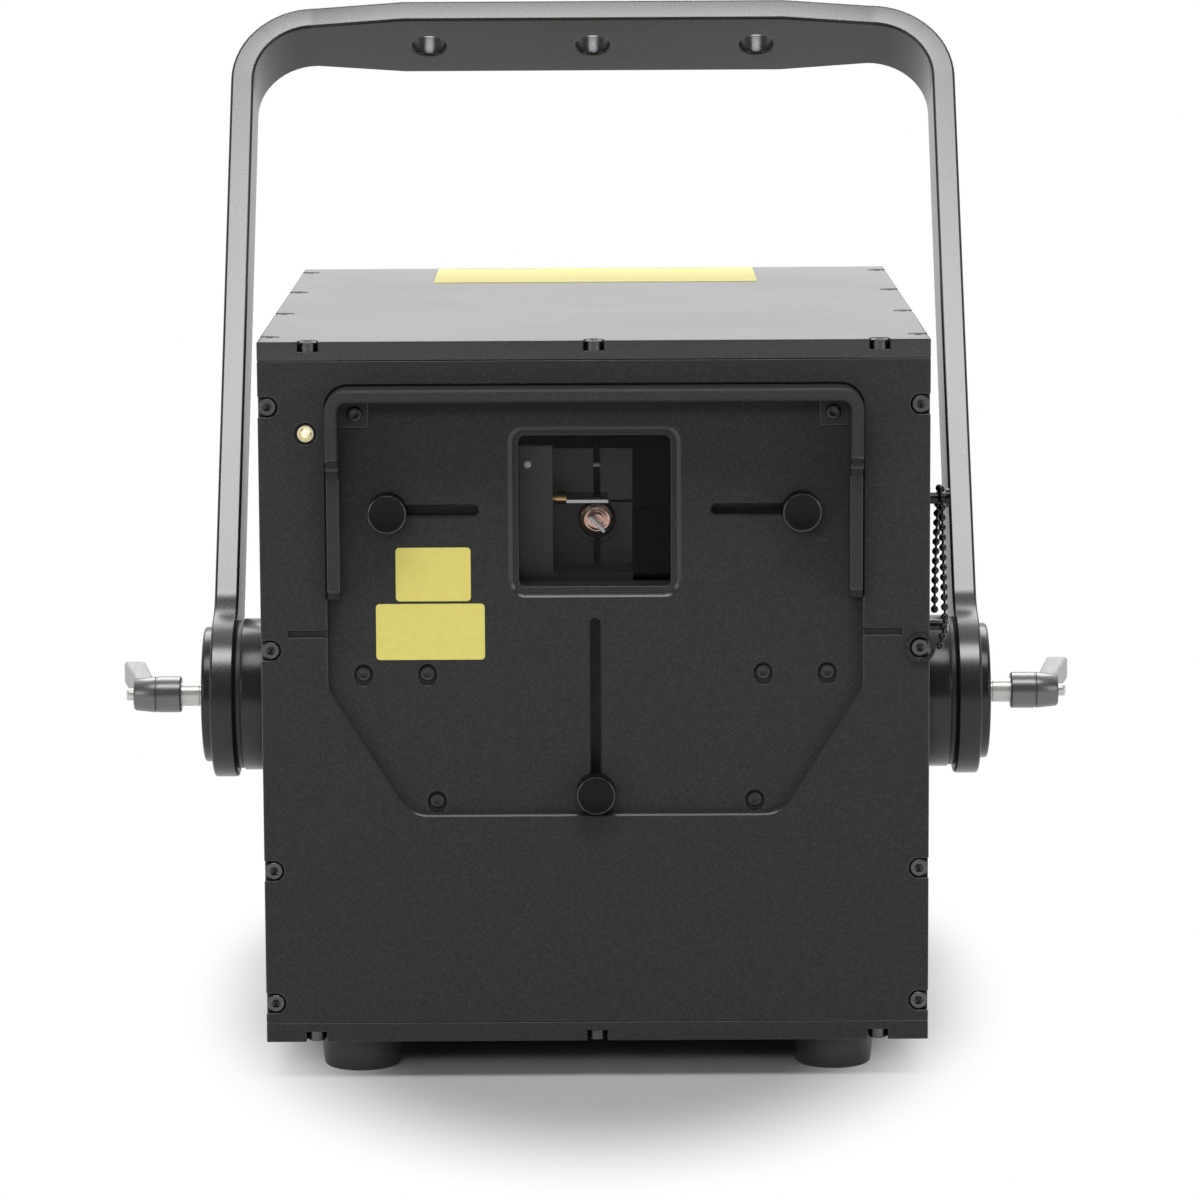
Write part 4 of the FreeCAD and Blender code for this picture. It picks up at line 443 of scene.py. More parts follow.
def merged_copy(node, flat_faces_whole=True):
    """Copy of a solid whose loose triangles are merged, into whole flat faces unless told otherwise."""
    bm = bmesh.new()
    bm.from_mesh(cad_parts[node].data)
    bmesh.ops.remove_doubles(bm, verts=bm.verts, dist=MERGED)
    if flat_faces_whole:
        bmesh.ops.dissolve_limit(bm, angle_limit=FLAT_TURN, verts=bm.verts, edges=bm.edges)
    return bm


def shade(mesh_data):
    """Smooth shading that breaks at the sharp edges."""
    bm = bmesh.new()
    bm.from_mesh(mesh_data)
    for edge in bm.edges:
        edge.smooth = len(edge.link_faces) == 2 and edge.calc_face_angle(0.0) < SHARP_TURN
    for face in bm.faces:
        face.smooth = True
    bm.to_mesh(mesh_data)
    bm.free()


def flat_faces_kept(mesh_data):
    """Mesh whose large faces keep their own normals, so that only the broken edges look round."""
    shade(mesh_data)
    holder = placed("weighed", mesh_data)
    modifier = holder.modifiers.new("weigh", "WEIGHTED_NORMAL")
    modifier.keep_sharp = True
    weighed = evaluated_mesh(holder)
    bpy.data.objects.remove(holder)
    return weighed


def new_piece(name, source, finish, body, replaced=()):
    """Object from a bmesh or mesh that rides on a body and may stand for some nodes."""
    mesh_data = source
    if isinstance(source, bmesh.types.BMesh):
        bmesh.ops.recalc_face_normals(source, faces=source.faces)
        mesh_data = mesh_of(source, name)
    # Clearing the list also resets the faces' finishes, so an empty list is left alone
    if mesh_data.materials:
        mesh_data.materials.clear()
    for item in finish if isinstance(finish, tuple) else (finish,):
        mesh_data.materials.append(look(item))
    if not mesh_data.has_custom_normals:
        shade(mesh_data)
    piece = placed(name, mesh_data)
    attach(piece, body)
    if replaced:
        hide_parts(*replaced)
    return piece


def paint(finish, *nodes):
    """Give solids that stay as they are their finish."""
    for node in nodes:
        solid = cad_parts[node]
        solid.data.materials.clear()
        solid.data.materials.append(look(finish))


def towards(axis, origin):
    """Matrix that puts local Z along an axis at an origin."""
    return Matrix.Translation(origin) @ Vector(axis).to_track_quat("Z", "Y").to_matrix().to_4x4()


def circle_ring(radius, height, count):
    """Points round a circle."""
    step = 2 * math.pi / count
    return [Vector((radius * math.cos(step * i), radius * math.sin(step * i), height)) for i in range(count)]


def hex_ring(flats, height, count):
    """Points round a hexagon, as many as a circle ring has."""
    ring = []
    for point in circle_ring(1.0, 0.0, count):
        turn = math.atan2(point.y, point.x) % (math.pi / 3) - math.pi / 6
        reach = flats / 2 / math.cos(turn)
        ring.append(Vector((point.x * reach, point.y * reach, height)))
    return ring


def add_rings(bm, rings, place=Matrix(), closed=False):
    """Skin a stack of point rings. The ends are capped, or joined to each other."""
    loops = [[bm.verts.new(place @ point) for point in ring] for ring in rings]
    pairs = list(zip(loops, loops[1:]))
    if closed:
        pairs.append((loops[-1], loops[0]))
    for low, high in pairs:
        for i, corner in enumerate(low):
            following = (i + 1) % len(low)
            bm.faces.new((corner, low[following], high[following], high[i]))
    if not closed:
        bm.faces.new(reversed(loops[0]))
        bm.faces.new(loops[-1])


def add_lathe(bm, profile, axis, origin, count=96, closed=False):
    """Turned shape from (radius, distance along the axis) pairs in millimetres."""
    rings = [circle_ring(radius * MM, along * MM, count) for radius, along in profile]
    add_rings(bm, rings, towards(axis, origin), closed)


def turned_piece(name, profile, axis, origin, count, finish, body, replaced=(), closed=False):
    """Piece of one turned shape."""
    bm = bmesh.new()
    add_lathe(bm, profile, axis, origin, count, closed)
    new_piece(name, bm, finish, body, replaced)


def add_sheet(bm, width, height, corner, thickness, place):
    """Thin sheet with round corners, lying on its local XY plane."""
    corner_steps = 6
    centres = ((1, 1, 0), (-1, 1, 90), (-1, -1, 180), (1, -1, 270))
    outline = []
    for side, rise, start in centres:
        for step in range(corner_steps + 1):
            turn = math.radians(start + 90 * step / corner_steps)
            outline.append(Vector((side * (width / 2 - corner) + corner * math.cos(turn),
                                   rise * (height / 2 - corner) + corner * math.sin(turn), 0)))
    lifted = [point + Vector((0, 0, thickness)) for point in outline]
    add_rings(bm, [outline, lifted], place)


def broken_copy(node, width, finish, body, turn=50, reshape=None):
    """Copy of a solid with its sharp outer edges broken, which stands for the solid."""
    bm = merged_copy(node)
    if reshape:
        reshape(bm)
    limit = math.radians(turn)
    chosen = [edge for edge in bm.edges
              if len(edge.link_faces) == 2 and edge.is_convex and edge.calc_face_angle(0.0) > limit]
    broken = bmesh.ops.bevel(bm, geom=chosen, offset=width, segments=3, profile=0.5, affect="EDGES",
                             clamp_overlap=False)
    for face in broken["faces"]:
        face.material_index = 1
    bmesh.ops.triangulate(bm, faces=[face for face in bm.faces if len(face.verts) > 4])
    mesh_data = flat_faces_kept(mesh_of(bm, node + "_dressed"))
    new_piece(node + "_dressed", mesh_data, finish, body, (node,))


# Geometry Nodes trees

def finish_tree(tree, source, inside, outside):
    """End a tree in real geometry with its material set."""
    real = tree.nodes.new("GeometryNodeRealizeInstances")
    coat = tree.nodes.new("GeometryNodeSetMaterial")
    tree.links.new(source, real.inputs["Geometry"])
    tree.links.new(real.outputs["Geometry"], coat.inputs["Geometry"])
    tree.links.new(inside.outputs["Material"], coat.inputs["Material"])
    tree.links.new(coat.outputs["Geometry"], outside.inputs["Geometry"])


def scatter_tree():
    """One shape on every point of a mesh, standing along the point's own direction."""
    inputs = {"Geometry": "Geometry", "Shape": "Object", "Material": "Material"}
    outputs = {"Geometry": "Geometry"}
    tree, inside, outside = new_tree("Set Shapes On Points", "GeometryNodeTree", inputs, outputs)
    shape = tree.nodes.new("GeometryNodeObjectInfo")
    facing = tree.nodes.new("GeometryNodeInputNamedAttribute")
    facing.data_type = "FLOAT_VECTOR"
    facing.inputs["Name"].default_value = "facing"
    stand = tree.nodes.new("FunctionNodeAlignRotationToVector")
    stand.axis = "Z"
    points = tree.nodes.new("GeometryNodeMeshToPoints")
    copies = tree.nodes.new("GeometryNodeInstanceOnPoints")
    tree.links.new(inside.outputs["Shape"], shape.inputs["Object"])
    tree.links.new(facing.outputs["Attribute"], stand.inputs["Vector"])
    tree.links.new(inside.outputs["Geometry"], points.inputs["Mesh"])
    tree.links.new(points.outputs["Points"], copies.inputs["Points"])
    tree.links.new(shape.outputs["Geometry"], copies.inputs["Instance"])
    tree.links.new(stand.outputs["Rotation"], copies.inputs["Rotation"])
    finish_tree(tree, copies.outputs["Instances"], inside, outside)
    return tree


def bead_tree():
    """Beads along a line at an even pitch, joined by thin links."""
    inputs = {"Geometry": "Geometry", "Bead": "Float", "Pitch": "Float", "Link": "Float",
              "Material": "Material"}
    outputs = {"Geometry": "Geometry"}
    tree, inside, outside = new_tree("String Beads", "GeometryNodeTree", inputs, outputs)
    evenly = tree.nodes.new("GeometryNodeResampleCurve")
    evenly.mode = "LENGTH"
    ball = tree.nodes.new("GeometryNodeMeshUVSphere")
    ball.inputs["Segments"].default_value = 20
    ball.inputs["Rings"].default_value = 12
    copies = tree.nodes.new("GeometryNodeInstanceOnPoints")
    section = tree.nodes.new("GeometryNodeCurvePrimitiveCircle")
    section.inputs["Resolution"].default_value = 8
    wire = tree.nodes.new("GeometryNodeCurveToMesh")
    join = tree.nodes.new("GeometryNodeJoinGeometry")
    links = tree.links
    links.new(inside.outputs["Geometry"], evenly.inputs["Curve"])
    links.new(inside.outputs["Pitch"], evenly.inputs["Length"])
    links.new(worked_out(tree, "MULTIPLY", inside.outputs["Bead"], 0.5), ball.inputs["Radius"])
    links.new(evenly.outputs["Curve"], copies.inputs["Points"])
    links.new(ball.outputs["Mesh"], copies.inputs["Instance"])
    links.new(worked_out(tree, "MULTIPLY", inside.outputs["Link"], 0.5), section.inputs["Radius"])
    links.new(inside.outputs["Geometry"], wire.inputs["Curve"])
    links.new(section.outputs["Curve"], wire.inputs["Profile Curve"])
    links.new(copies.outputs["Instances"], join.inputs["Geometry"])
    links.new(wire.outputs["Mesh"], join.inputs["Geometry"])
    finish_tree(tree, join.outputs["Geometry"], inside, outside)
    return tree


def grown_mesh(source, tree, name, **amounts):
    """Run a tree on an object and give its result as a plain mesh."""
    modifier = source.modifiers.new(name, "NODES")
    modifier.node_group = tree
    for item in tree.interface.items_tree:
        key = item.name.lower()
        if item.in_out == "INPUT" and key in amounts:
            modifier[item.identifier] = amounts[key]
    mesh_data = evaluated_mesh(source)
    source.modifiers.remove(modifier)
    return mesh_data


def repeated_piece(name, shape, spots, finish, replaced=()):
    """Piece on the housing with one shape at each (place, direction) spot."""
    cloud = bpy.data.meshes.new(name + "_spots")
    cloud.from_pydata([place for place, _ in spots], [], [])
    facing = cloud.attributes.new("facing", "FLOAT_VECTOR", "POINT")
    for item, (_, way) in zip(facing.data, spots):
        item.vector = way
    holder = placed(name + "_spots", cloud)
    mesh_data = grown_mesh(holder, scatter_tree(), name, shape=shape, material=look(finish))
    bpy.data.objects.remove(holder)
    bpy.data.objects.remove(shape)
    new_piece(name, mesh_data, finish, "housing", replaced)


def loose_shape(name, rings):
    """Object of one skinned stack of rings, to be set on points."""
    bm = bmesh.new()
    add_rings(bm, rings)
    bmesh.ops.recalc_face_normals(bm, faces=bm.faces)
    return placed(name, mesh_of(bm, name))


def screw_shape(name, sizes, profile, depth):
    """Screw head with a hex socket that ends in a drilled tip, standing on its local origin."""
    count = 24
    draft, tip_width, tip_depth = 0.97, 0.05, 1.5
    rings = [circle_ring(radius, height, count) for radius, height in profile]
    top = profile[-1][1]
    rings.append(hex_ring(sizes.socket, top, count))
    rings.append(hex_ring(sizes.socket * draft, top - depth, count))
    rings.append(circle_ring(sizes.socket * tip_width, top - tip_depth * depth, count))
    return loose_shape(name, rings)


# Operators, one for each piece or group of like pieces

class PROJECTOR_OT_case(Operator):
    """Break the edges of the case's plates and give them their anodised skin"""
    bl_idname = "projector.case"
    bl_label = "Case plates"

    def execute(self, context):
        edge = context.scene.projector_case.edge
        plate = ("plate_black", "plate_edge")
        broken_copy("front_panel", edge, plate, "housing", reshape=step_window)
        broken_copy("top_plate", edge, ("lid_black", "plate_edge"), "housing")
        for node in ("bottom_plate", "left_side_panel", "right_side_panel", "rear_panel"):
            broken_copy(node, edge, plate, "housing")
        broken_copy("aperture_hood", edge, ("hood_black", "plate_edge"), "housing", turn=40)
        paint("plate_black", "mask_cover")
        return {"FINISHED"}


def step_window(bm):
    """Mark the front panel's chamfers, and give its window a narrow lip and a flat ledge."""
    lip_share = 0.4
    lip_depth = 1 * MM
    ledge_depth = 1.4 * MM
    least_slant, most_slant = 0.3, 0.95
    low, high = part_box("aperture_glass")
    middle = middle_of("aperture_glass")
    slanted = [face for face in bm.faces if least_slant < -face.normal.y < most_slant]
    for face in slanted:
        face.material_index = 1
    rim = [face for face in slanted
           if all(low.x < vert.co.x < high.x and low.z < vert.co.z < high.z for vert in face.verts)]
    corners = {vert for face in rim for vert in face.verts}
    deepest = max(vert.co.y for vert in corners)
    loops = []
    for depth in (POCKET, deepest):
        loop = [vert for vert in corners if abs(vert.co.y - depth) < LEVEL]
        loop.sort(key=lambda vert: math.atan2(vert.co.z - middle.z, vert.co.x - middle.x))
        loops.append(loop)
    outer, inner = loops
    bmesh.ops.delete(bm, geom=rim, context="FACES")
    for vert in inner:
        vert.co.y = POCKET + ledge_depth
    between = []
    for first, second in zip(outer, inner):
        spot = first.co.lerp(second.co, lip_share)
        between.append(bm.verts.new((spot.x, POCKET + lip_depth, spot.z)))
    for ring, following, finish in ((outer, between, 1), (between, inner, 0)):
        for i, corner in enumerate(ring):
            after = (i + 1) % len(ring)
            face = bm.faces.new((corner, following[i], following[after], ring[after]))
            face.normal_update()
            if face.normal.y > 0:
                face.normal_flip()
            face.material_index = finish


class PROJECTOR_OT_screws(Operator):
    """Set the socket-head and flat-head screws"""
    bl_idname = "projector.screws"
    bl_label = "Screws"

    def execute(self, context):
        sizes = context.scene.projector_screws
        ease = 0.3 * MM
        radius = sizes.head / 2
        tall = sizes.tall
        profile = [(radius, 0), (radius, tall - ease), (radius - ease, tall)]
        shape = screw_shape("socket_head", sizes, profile, tall * 0.5)
        spots = lid_spots(sizes) + face_spots(sizes)
        repeated_piece("socket_screws", shape, spots, "steel_black", ("case_screws",))
        radius = sizes.small / 2
        tall = sizes.flat
        profile = [(radius, 0), (radius, tall * 0.6), (radius * 0.9, tall * 0.9), (radius * 0.72, tall)]
        shape = screw_shape("flat_head", sizes, profile, tall * 0.6)
        repeated_piece("button_screws", shape, pocket_spots(), "steel_dark", ("flat_screws",))
        return {"FINISHED"}


def lid_spots(sizes):
    """Screws along the top and bottom plates."""
    inset, depth = sizes.inset, sizes.depth
    side_inset, end_inset = 15.5 * MM, 15 * MM
    side_count = 4
    flat = [(across, FRONT + inset) for across in (-HALF + side_inset, 0, HALF - side_inset)]
    step = (BACK - FRONT - 2 * end_inset) / (side_count - 1)
    for _, sign in LEFT_RIGHT:
        flat += [(sign * (HALF - inset), FRONT + end_inset + count * step) for count in range(side_count)]
    spots = [(Vector((across, back, TOP - depth)), UPWARD) for across, back in flat]
    spots += [(Vector((across, back, BASE + depth)), -UPWARD) for across, back in flat]
    return spots


def face_spots(sizes):
    """Screws along the upright edges of the front and rear panels."""
    top_inset, base_inset = 20 * MM, 12.3 * MM
    upper_share, lower_share = 0.436, 0.752
    tall = TOP - BASE
    heights = (TOP - top_inset, TOP - upper_share * tall, TOP - lower_share * tall, BASE + base_inset)
    spots = []
    for _, sign in LEFT_RIGHT:
        for up in heights:
            across = sign * (HALF - sizes.inset)
            spots.append((Vector((across, FRONT + sizes.depth, up)), FORWARD))
            spots.append((Vector((across, BACK - sizes.depth, up)), BACKWARD))
    return spots


def pocket_spots():
    """Screws on the pocket's floor and in the hood's corner tabs."""
    sunk = POCKET + 1.2 * MM
    on_tab = POCKET - 1.5 * MM
    places = [(71.3, sunk, 103), (51.6, sunk, 103), (49, sunk, 142.8), (73, on_tab, 22.5)]
    return [(Vector((sign * across * MM, back, TOP - drop * MM)), FORWARD)
            for _, sign in LEFT_RIGHT for across, back, drop in places]


class PROJECTOR_OT_masks(Operator):
    """Turn the thumb knobs and finish the sliding blades"""
    bl_idname = "projector.masks"
    bl_label = "Masks and knobs"

    def execute(self, context):
        rim_inner, rim_outer, rim_depth = 5.45 * MM, 5.99 * MM, 0.3 * MM
        paint("blade_black", "left_mask_blade", "right_mask_blade", "bottom_mask_blade")
        for node in ("left_knob", "right_knob", "bottom_knob"):
            low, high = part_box(node)
            middle = middle_of(node)
            length = (high.y - low.y) / MM
            knob = [(1.2, -length), (1.2, -8), (5.4, -8), (6, -7.4), (6, -0.5), (5.86, -0.16), (5.5, 0),
                    (5.3, -0.14), (2, -0.2)]
            bm = bmesh.new()
            add_lathe(bm, knob, FORWARD, Vector((middle.x, low.y, middle.z)))
            for face in bm.faces:
                spot = face.calc_center_median()
                reach = math.hypot(spot.x - middle.x, spot.z - middle.z)
                if rim_inner < reach < rim_outer and spot.y < low.y + rim_depth:
                    face.material_index = 1
            new_piece(node + "_turned", bm, ("knob_black", "knob_rim"), node, (node,))
        return {"FINISHED"}


class PROJECTOR_OT_lamp(Operator):
    """Make the emission lamp"""
    bl_idname = "projector.lamp"
    bl_label = "Lamp"

    def execute(self, context):
        origin = middle_of("lamp_bezel")
        origin.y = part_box("lamp_bezel")[0].y
        ring = [(1.65, -10), (2.2, -10), (2.2, -1.2), (2.75, -1.2), (2.75, -0.35), (2.5, -0.02), (2.2, -0.02),
                (1.85, -0.4), (1.65, -3)]
        turned_piece("lamp_ring", ring, FORWARD, origin, 64, "brass_ring", "housing",
                     ("lamp_bezel",), closed=True)
        reach, rise = 1.3, 0.98
        turns = [math.radians(turn) for turn in range(0, 86, 12)]
        dome = [(reach, -10)] + [(reach * math.cos(turn), rise * math.sin(turn)) for turn in turns]
        turned_piece("lamp_dome", dome, FORWARD, origin, 48, "lamp_glow", "housing",
                     ("lamp_lens",))
        return {"FINISHED"}


class PROJECTOR_OT_pivots(Operator):
    """Turn the pivot flanges, friction discs and outer washers"""
    bl_idname = "projector.pivots"
    bl_label = "Pivots"

    def execute(self, context):
        groups = (
            ("pivot_flanges", "housing", "case_black", "pivot_black",
             [(4.1, 102.5), (24.6, 102.5), (24.6, 103.2), (25, 103.4), (25.25, 103.8), (25.25, 116.4),
              (25.1, 116.85), (24.7, 117), (4.1, 117)]),
            ("friction_discs", "housing", "foot_rubber", "rubber_black",
             [(4.3, 117), (24.6, 117), (24.7, 117.3), (24.7, 118.6), (24.6, 118.9), (4.3, 118.9)]),
            ("outer_washers", "yoke", "yoke_black", "pivot_black",
             [(4.3, 127), (22.5, 127), (22.5, 129.2), (22.35, 129.75), (21.95, 130.1), (21.4, 130.2),
              (4.3, 130.2)]))
        for node, body, slot, finish, profile in groups:
            bm = bmesh.new()
            for _, sign in LEFT_RIGHT:
                add_lathe(bm, profile, (sign, 0, 0), PIVOT, 128, closed=True)
            new_piece(node + "_turned", bm, finish, body, (node,))
        return {"FINISHED"}


class PROJECTOR_OT_yoke(Operator):
    """Chamfer the yoke and give it its satin black"""
    bl_idname = "projector.yoke"
    bl_label = "Yoke"

    def execute(self, context):
        edge = context.scene.projector_case.bar_edge
        broken_copy("yoke", edge, ("bar_black", "bar_edge"), "yoke")
        return {"FINISHED"}


class PROJECTOR_OT_levers(Operator):
    """Turn the clamping levers' studs and hubs, and round their arms"""
    bl_idname = "projector.levers"
    bl_label = "Clamping levers"

    def execute(self, context):
        stud = [(3.4, 104.6), (3.95, 105.2), (3.95, 131), (3.6, 131.2), (3.6, 132), (3.95, 132.2),
                (3.95, 138.2)]
        hub = [(4, 138.2), (5.6, 138.2), (6, 138.6), (6, 146), (5.78, 146.2), (5.78, 146.5), (6, 146.8),
               (5.35, 153.3), (4.9, 153.9), (2.1, 153.9)]
        cap = [(2, 153.5), (2, 155.9), (1.85, 156.3), (1.5, 156.5)]
        arm_edge = 0.3 * MM
        for side, sign in LEFT_RIGHT:
            body = side + "_lever"
            axis = (sign, 0, 0)
            turned_piece(side + "_thread", stud, axis, PIVOT, 32, "stud_pale", body,
                         (side + "_stud",))
            turned_piece(side + "_hub_turned", hub, axis, PIVOT, 64, "lever_black", body,
                         (side + "_lever_hub",))
            turned_piece(side + "_hub_cap", cap, axis, PIVOT, 32, "stud_pale", body)
            broken_copy(side + "_lever_arm", arm_edge, ("lever_pale", "lever_pale"), body,
                        turn=40)
        return {"FINISHED"}


class PROJECTOR_OT_feet(Operator):
    """Mould the rubber feet round their screws"""
    bl_idname = "projector.feet"
    bl_label = "Feet"

    def execute(self, context):
        low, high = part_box("feet")
        radius = 13 * MM
        foot = [(2.2, 12), (2.2, 6), (5.6, 6), (6, 5.6), (6, 0.4), (6.4, 0), (11.2, 0), (11.75, 0.5),
                (12.2, 4), (12.75, 9), (12.95, 11.6), (12.6, 12)]
        bm = bmesh.new()
        for across in (low.x + radius, high.x - radius):
            for back in (low.y + radius, high.y - radius):
                add_lathe(bm, foot, UPWARD, Vector((across, back, 0)), 72, closed=True)
        new_piece("feet_moulded", bm, "rubber_black", "housing", ("feet",))
        paint("steel_pale", "foot_screws")
        return {"FINISHED"}


class PROJECTOR_OT_chain(Operator):
    """String the bead chain from its ring over the pegs"""
    bl_idname = "projector.chain"
    bl_label = "Bead chain"

    def execute(self, context):
        sizes = context.scene.projector_chain
        line = bpy.data.curves.new("chain_line", "CURVE")
        line.dimensions = "3D"
        line.resolution_u = 16
        spline = line.splines.new("NURBS")
        spline.points.add(len(CHAIN_ROUTE) - 1)
        for point, (out, depth, drop) in zip(spline.points, CHAIN_ROUTE):
            point.co = (HALF + out * MM, FRONT + depth * MM, TOP - drop * MM, 1)
        spline.order_u = 3
        spline.use_endpoint_u = True
        holder = placed("chain_line", line)
        path = [vertex.co.copy() for vertex in evaluated_mesh(holder).vertices]
        beads = grown_mesh(holder, bead_tree(), "beads", bead=sizes.bead, pitch=sizes.pitch, link=sizes.link,
                           material=look("chain_black"))
        bpy.data.objects.remove(holder)
        chain = new_piece("beads_on_links", beads, "chain_black", "housing", ("bead_chain",))
        paint("chain_black", "chain_ring", "chain_pegs")
        return {"FINISHED"}


class PROJECTOR_OT_stickers(Operator):
    """Lay the blank stickers on the front panel and the top plate"""
    bl_idname = "projector.stickers"
    bl_label = "Stickers"

    def execute(self, context):
        sizes = context.scene.projector_stickers
        upright = Matrix.Rotation(math.radians(90), 4, "X")
        lying = Matrix()
        stickers = (
            ("front_sticker", (-50.6 * MM, POCKET, TOP - 90 * MM), upright, 33.4 * MM, 17.4 * MM),
            ("front_sticker_small", (-49.6 * MM, POCKET, TOP - 72.2 * MM), upright, 23 * MM, 16.6 * MM),
            ("top_sticker", (0.5 * MM, FRONT + 231 * MM, TOP), lying, 111 * MM, 55 * MM))
        for name, spot, turn, width, height in stickers:
            bm = bmesh.new()
            add_sheet(bm, width, height, sizes.corner, sizes.thickness, Matrix.Translation(spot) @ turn)
            new_piece(name, bm, "sticker_yellow", "housing")
        return {"FINISHED"}


class PROJECTOR_OT_scanner(Operator):
    """Finish the pane, the scanner behind it and the modules inside the case"""
    bl_idname = "projector.scanner"
    bl_label = "Scanner and modules"

    def execute(self, context):
        paint("pane", "aperture_glass")
        paint("scanner_grey", "scanner_block")
        paint("gold", "y_galvo")
        origin = middle_of("x_galvo")
        origin.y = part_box("x_galvo")[0].y
        can = [(1.6, 9), (1.6, 0.05), (2.4, 0), (3.2, 0.06), (3.35, 0.12), (3.5, 0.1), (4.3, 0.25),
               (4.5, 0.34), (4.7, 0.36), (5.2, 0.55), (5.6, 0.85), (5.85, 1.25), (6, 2), (6, 50), (4, 50),
               (4, 53)]
        turned_piece("copper_can", can, BACKWARD, origin, 64, "copper", "housing",
                     ("x_galvo",))
        for node, holder in (("x_mirror", "copper"), ("y_mirror", "gold")):
            mirror_with_holder(node, holder)
        clamp_screws(origin)
        paint("milled_aluminium", "optical_bench", "bench_posts", "power_supply", "scanner_driver")
        paint("module_black", "red_laser", "green_laser", "blue_laser", "beam_mirrors")
        paint("board_green", "control_board")
        return {"FINISHED"}


def mirror_with_holder(node, holder):
    """Copy of a scan mirror whose plate is silvered and whose shaft and holder are not."""
    holder_length = 10.2 * MM
    bm = merged_copy(node, flat_faces_whole=False)
    low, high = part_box(node)
    for face in bm.faces:
        spot = face.calc_center_median()
        along = spot.x - low.x if node == "y_mirror" else high.y - spot.y
        face.material_index = 1 if along < holder_length + LEVEL else 0
    mesh_data = mesh_of(bm, node + "_silvered")
    new_piece(node + "_silvered", mesh_data, ("mirror_coat", holder), node, (node,))


def clamp_screws(can_end):
    """Screw on the scanner block's face, and rod in the gap above the copper can."""
    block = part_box("scanner_block")[0]
    head = [(1.25, 0), (1.25, 0.7), (1, 1), (0.6, 1.05), (0.5, 0.6)]
    head_place = block + Vector((12.2, 0, 42.3)) * MM
    rod = [(0.8, -2), (0.8, 2)]
    rod_place = Vector((can_end.x, can_end.y + 3 * MM, block.z + 39 * MM))
    bm = bmesh.new()
    add_lathe(bm, head, FORWARD, head_place, 24)
    add_lathe(bm, rod, (1, 0, 0), rod_place, 16)
    new_piece("clamp_screws", bm, "stud_pale", "housing")


class PROJECTOR_OT_rear(Operator):
    """Finish the fittings of the rear panel and the fan behind it"""
    bl_idname = "projector.rear"
    bl_label = "Rear fittings"

    def execute(self, context):
        key_edge = 0.3 * MM
        paint("moulded_black", "fan_frame", "fan_rotor", "mains_inlet", "interlock_socket")
        for node, body in (("key_barrel", "housing"), ("key", "key")):
            broken_copy(node, key_edge, ("nickel", "nickel"), body, turn=40)
        hollow_sockets()
        socket_pins()
        inlet_pins()
        fan_screws(context.scene.projector_screws)
        return {"FINISHED"}


def hollow_sockets():
    """Copy of the signal sockets whose shells are open and hold a black insert."""
    wall = 0.5 * MM
    draft = 0.02 * MM
    facing_back = 0.99
    bm = merged_copy("signal_sockets")
    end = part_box("signal_sockets")[1].y
    mouths = [face for face in bm.faces
              if face.normal.y > facing_back and face.calc_center_median().y > end - LEVEL]
    bmesh.ops.inset_region(bm, faces=mouths, thickness=wall, use_even_offset=True)
    bmesh.ops.inset_region(bm, faces=mouths, thickness=draft, depth=-SOCKET_DEPTH, use_even_offset=True)
    for face in mouths:
        face.material_index = 1
    mesh_data = mesh_of(bm, "socket_shells")
    new_piece("socket_shells", mesh_data, ("nickel", "moulded_black"), "housing",
              ("signal_sockets",))


def socket_pins():
    """Two rows of pins in each signal socket, with a hex post at each end of its flange."""
    low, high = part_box("signal_sockets")
    middle = (low.x + high.x) / 2
    half_flange, pitch, row = 6.2 * MM, 2.77 * MM, 1.42 * MM
    post_reach, flange = 23.5 * MM, 1 * MM
    pins, posts = [], []
    for height in (low.z + half_flange, high.z - half_flange):
        for count, rise in ((13, row), (12, -row)):
            for step in range(count):
                across = middle + (step - (count - 1) / 2) * pitch
                pins.append((Vector((across, high.y - SOCKET_DEPTH, height + rise)), BACKWARD))
        for _, sign in LEFT_RIGHT:
            posts.append((Vector((middle + sign * post_reach, BACK + flange, height)), BACKWARD))
    pin = [circle_ring(radius * MM, up * MM, 10) for radius, up in ((0.5, 0), (0.5, 4), (0.25, 4.5))]
    repeated_piece("socket_pins", loose_shape("pin", pin), pins, "gold")
    flats, count = 4.8 * MM, 24
    post = [hex_ring(flats, 0, count), hex_ring(flats, 4.6 * MM, count)]
    post += [circle_ring(radius * MM, up * MM, count) for radius, up in ((2.2, 5), (1.4, 5), (1.3, 1))]
    repeated_piece("hex_posts", loose_shape("post", post), posts, "steel_pale")


def inlet_pins():
    """Three blades in the mains inlet and three round pins in the interlock socket."""
    inlet_depth, blade_length = 18.2 * MM, 14 * MM
    blade_width, blade_height, blade_corner = 2 * MM, 4 * MM, 0.4 * MM
    socket_depth, pin_circle = 6 * MM, 2.6 * MM
    pin = [(0.8, 0), (0.8, 5.2), (0.4, 5.8)]
    bm = bmesh.new()
    middle = middle_of("mains_inlet")
    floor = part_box("mains_inlet")[1].y - inlet_depth
    for across, rise in ((-7, -2), (0, 2), (7, -2)):
        place = towards(BACKWARD, Vector((middle.x + across * MM, floor, middle.z + rise * MM)))
        add_sheet(bm, blade_width, blade_height, blade_corner, blade_length, place)
    middle = middle_of("interlock_socket")
    middle.y = BACK - socket_depth
    for turn in (90, 210, 330):
        spot = Vector((math.cos(math.radians(turn)), 0, math.sin(math.radians(turn)))) * pin_circle
        add_lathe(bm, pin, BACKWARD, middle + spot, 16)
    new_piece("inlet_pins", bm, "steel_pale", "housing")


